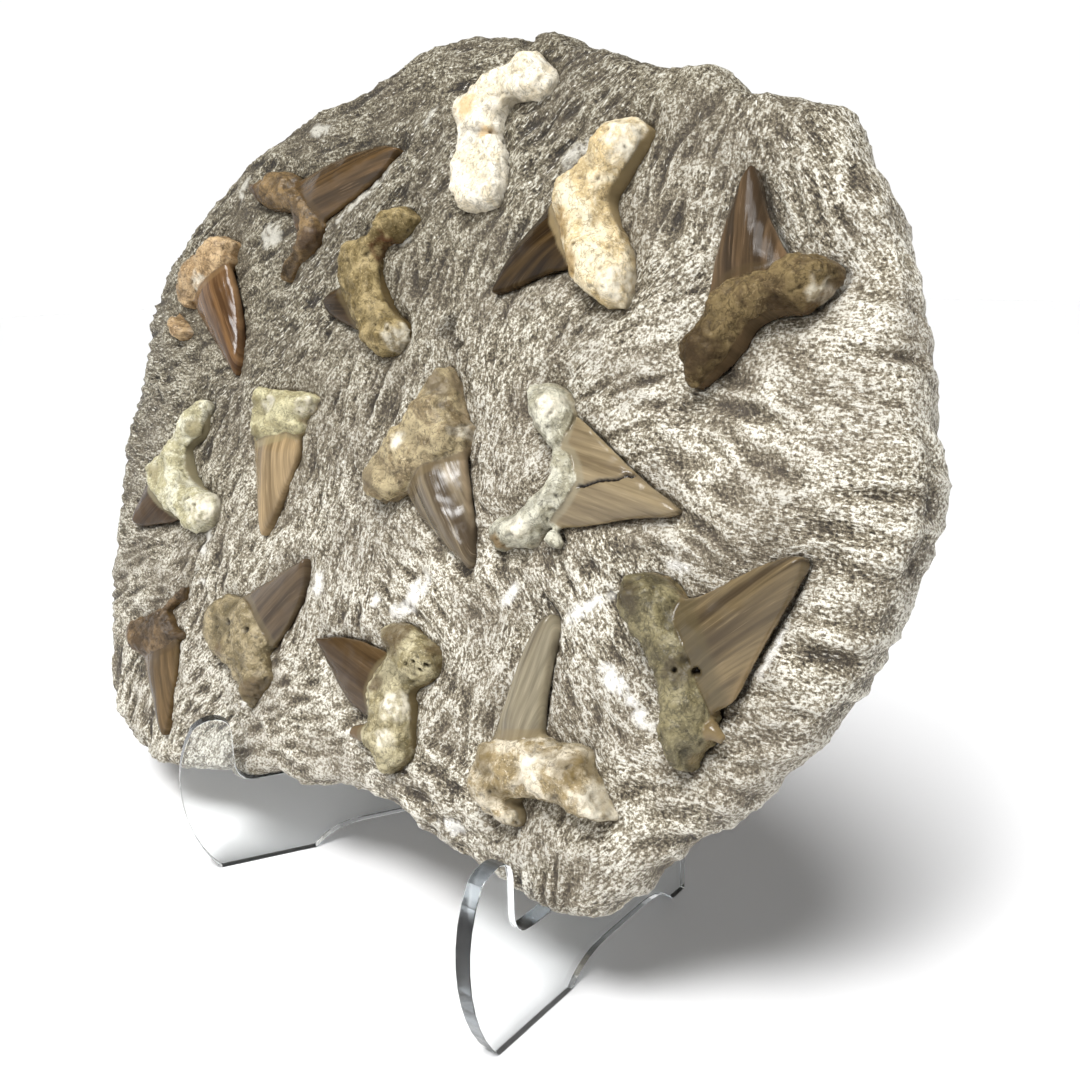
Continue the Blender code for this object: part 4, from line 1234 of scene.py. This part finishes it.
def teeth_cuts(points, teeth):
    """Height of the matrix round the teeth, cut down and with a brim, and their distance."""
    away, which = teeth_near(points, teeth)
    trench = np.array([shape["trench"] for shape in TEETH.values()])
    deep, wide = trench[which].T
    ragged = away + 0.7 * noise3(points / 2.5, seed=33)
    found = away < FAR
    cut = deep * np.exp(-(np.maximum(ragged, 0) / wide) ** 2) * found
    brim = BRIM * np.exp(-((ragged - wide * 1.6) / 1.6) ** 2) * found
    under = UNDER_TOOTH * smooth(0.4, -1.2, away)
    return brim - cut - under, away


def make_slab(teeth):
    """The slab, rough and chiselled, with the matrix cut down round each tooth."""
    points, faces = slab_skin(cad_outline())
    piece = new_object("matrix_stone", points, faces)
    normals = point_normals(piece)
    facing = smooth(0.35, 0.8, normals[:, 2])
    behind = smooth(0.35, 0.8, -normals[:, 2])
    side = 1 - facing - behind
    swell = np.array([noise.noise((u / LUMP_SIZE, v / LUMP_SIZE, LUMP_LAYER))
                      for u, v in points[:, :2]])
    points[:, 2] += LUMP * swell * (facing + side * 0.5)
    height, away = teeth_cuts(points, teeth)
    marks, crest, turns = chisel_marks(points)
    calm = 1 - 0.5 * np.exp(-(np.maximum(away, 0) / 3.0) ** 2)
    grit = 0.16 * noise3(points / 1.3, seed=60) + 0.1 * noise3(points / 0.9, seed=61)
    rough = 0.5 * layered(points, 9, 3, seed=62)
    bites = -1.9 * np.abs(noise3(points / (7.5, 7.5, 14), seed=63))
    bites -= 1.0 * np.abs(noise3(points / (3.4, 3.4, 6), seed=64))
    broken = 1.2 * layered(points, 12, 4, seed=65)
    move = facing * (marks * calm + rough) + side * (bites + broken * 0.5)
    move += behind * (broken - 1.2) + grit
    points = points + normals * move[:, None]
    points[:, 2] = np.maximum(points[:, 2] + facing * height, -THICK)
    world = place(points) / MM
    for middle, half in LEDGES:
        over = np.abs(world[:, 0] - SHIFT_X - middle) < half
        world[over, 2] = np.maximum(world[over, 2], LEDGE_Z)
    move_points(piece, unplace(world * MM))
    values = {
        # ridge: +1 on ridges to -1 in grooves and bites, painted lighter as highlight and darker as
        # shade
        "ridge": np.clip(crest * facing + side * (1.2 + bites), -1, 1),
        # painted shade towards the upper left, where the light falls off
        "falloff_shade": smooth(FALLOFF_SHADE_FROM, FALLOFF_SHADE_TO, points[:, :2] @ FALLOFF_SHADE_WAY),
        "turn_cos": turns[:, 0],
        "turn_sin": turns[:, 1],
        "chalk": chalk_of(points) * facing,
        "near": np.exp(-(np.maximum(away, 0) / 0.8) ** 2) * facing,
    }
    for mark, strength in values.items():
        set_values(piece, mark, strength)
    piece.data.shade_smooth()
    piece.data.materials.append(matrix_material())
    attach(piece, "root")
    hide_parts("matrix_slab")


# Stand


def make_plate(node, looks):
    """A stand plate with its cut edges slightly eased."""
    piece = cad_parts[node].copy()
    piece.data = piece.data.copy()
    piece.name = node + "_clear"
    bpy.context.scene.collection.objects.link(piece)
    weld = piece.modifiers.new("weld", "WELD")
    weld.merge_threshold = WELD * MM
    ease = piece.modifiers.new("ease", "BEVEL")
    ease.width = PLATE_EASE * MM
    ease.segments = 2
    ease.angle_limit = math.radians(50)
    evaluated(piece)
    piece.data.materials.clear()
    for look in looks:
        piece.data.materials.append(look)
    flat = max(piece.data.polygons, key=lambda face: face.area).normal.copy()
    for face in piece.data.polygons:
        face.material_index = int(abs(face.normal.dot(flat)) < 0.3)
    piece.data.shade_flat()
    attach(piece, "root")
    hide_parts(node)
    return piece


# Stage


def make_floor():
    half = FLOOR_HALF
    mesh = bpy.data.meshes.new("floor")
    mesh.from_pydata([(-half, -half, 0), (half, -half, 0), (half, half, 0), (-half, half, 0)],
                     [], [(0, 1, 2, 3)])
    floor = add_object("floor", mesh)
    look = bpy.data.materials.new("floor_look")
    look.use_nodes = True
    shader = look.node_tree.nodes["Principled BSDF"]
    shader.inputs["Base Color"].default_value = FLOOR_TONE
    shader.inputs["Roughness"].default_value = 0.7
    mesh.materials.append(look)


def add_light(name, kind, source, target, strength):
    """A light that shines from one place to another."""
    data = bpy.data.lights.new(name, kind)
    data.energy = strength
    lamp = add_object(name, data)
    lamp.location = source
    lamp.rotation_euler = (Vector(target) - Vector(source)).to_track_quat("-Z", "Y").to_euler()
    return data


def make_lights():
    """A soft sun, and a soft square lamp so near that it fades across the slab."""
    add_light("window", "SUN", SUN_FROM, (0, 0, 0), SUN_STRENGTH).angle = SUN_SOFTNESS
    add_light("front", "AREA", LAMP_FROM, LAMP_AT, LAMP_POWER).size = LAMP_SIZE


def make_world():
    """White all round at eye level, dimmer overhead."""
    world = bpy.data.worlds.new("studio")
    world.use_nodes = True
    nodes, links = world.node_tree.nodes, world.node_tree.links
    where = nodes.new("ShaderNodeTexCoord")
    parts = nodes.new("ShaderNodeSeparateXYZ")
    fade = nodes.new("ShaderNodeMapRange")
    links.new(where.outputs["Generated"], parts.inputs[0])
    links.new(parts.outputs["Z"], fade.inputs["Value"])
    for end, (level, strength) in (("Min", SKY_LOW), ("Max", SKY_HIGH)):
        fade.inputs["From " + end].default_value = level
        fade.inputs["To " + end].default_value = strength
    nodes["Background"].inputs["Color"].default_value = (1, 1, 1, 1)
    links.new(fade.outputs["Result"], nodes["Background"].inputs["Strength"])
    bpy.context.scene.world = world
    bpy.context.scene.view_settings.view_transform = "Standard"


def make_camera():
    """The photo's camera: turned by YAW, tilted by PITCH and rolled by TURN."""
    data = bpy.data.cameras.new("camera")
    data.sensor_width = SENSOR
    data.lens = LENS
    data.clip_start = 0.01
    camera = add_object("camera", data)
    ahead = Vector((-math.sin(YAW) * math.cos(PITCH), math.cos(YAW) * math.cos(PITCH),
                    math.sin(PITCH)))
    right = Vector((math.cos(YAW), math.sin(YAW), 0))
    up = right.cross(ahead)
    right, up = (math.cos(TURN) * right + math.sin(TURN) * up,
                 math.cos(TURN) * up - math.sin(TURN) * right)
    pose = Matrix((right, up, -ahead)).transposed().to_4x4()
    x, y, z = EYE_PLACE
    pose.translation = Vector((x + SHIFT_X, y + SHIFT_Y, z)) * MM
    camera.matrix_world = pose
    bpy.context.scene.camera = camera


def main():
    make_world()
    make_floor()
    make_lights()
    make_camera()
    teeth = [make_tooth(name, {**USUAL, **shape}, seed=11 * index + 5)
             for index, (name, shape) in enumerate(TEETH.items())]
    make_slab(teeth)
    looks = (acrylic_material("acrylic_look", (0.96, 0.98, 0.985), 0.0),
             acrylic_material("sawn_edge_look", (0.62, 0.68, 0.72), 0.22))
    for node in ("stand_left", "stand_right"):
        make_plate(node, looks)


main()
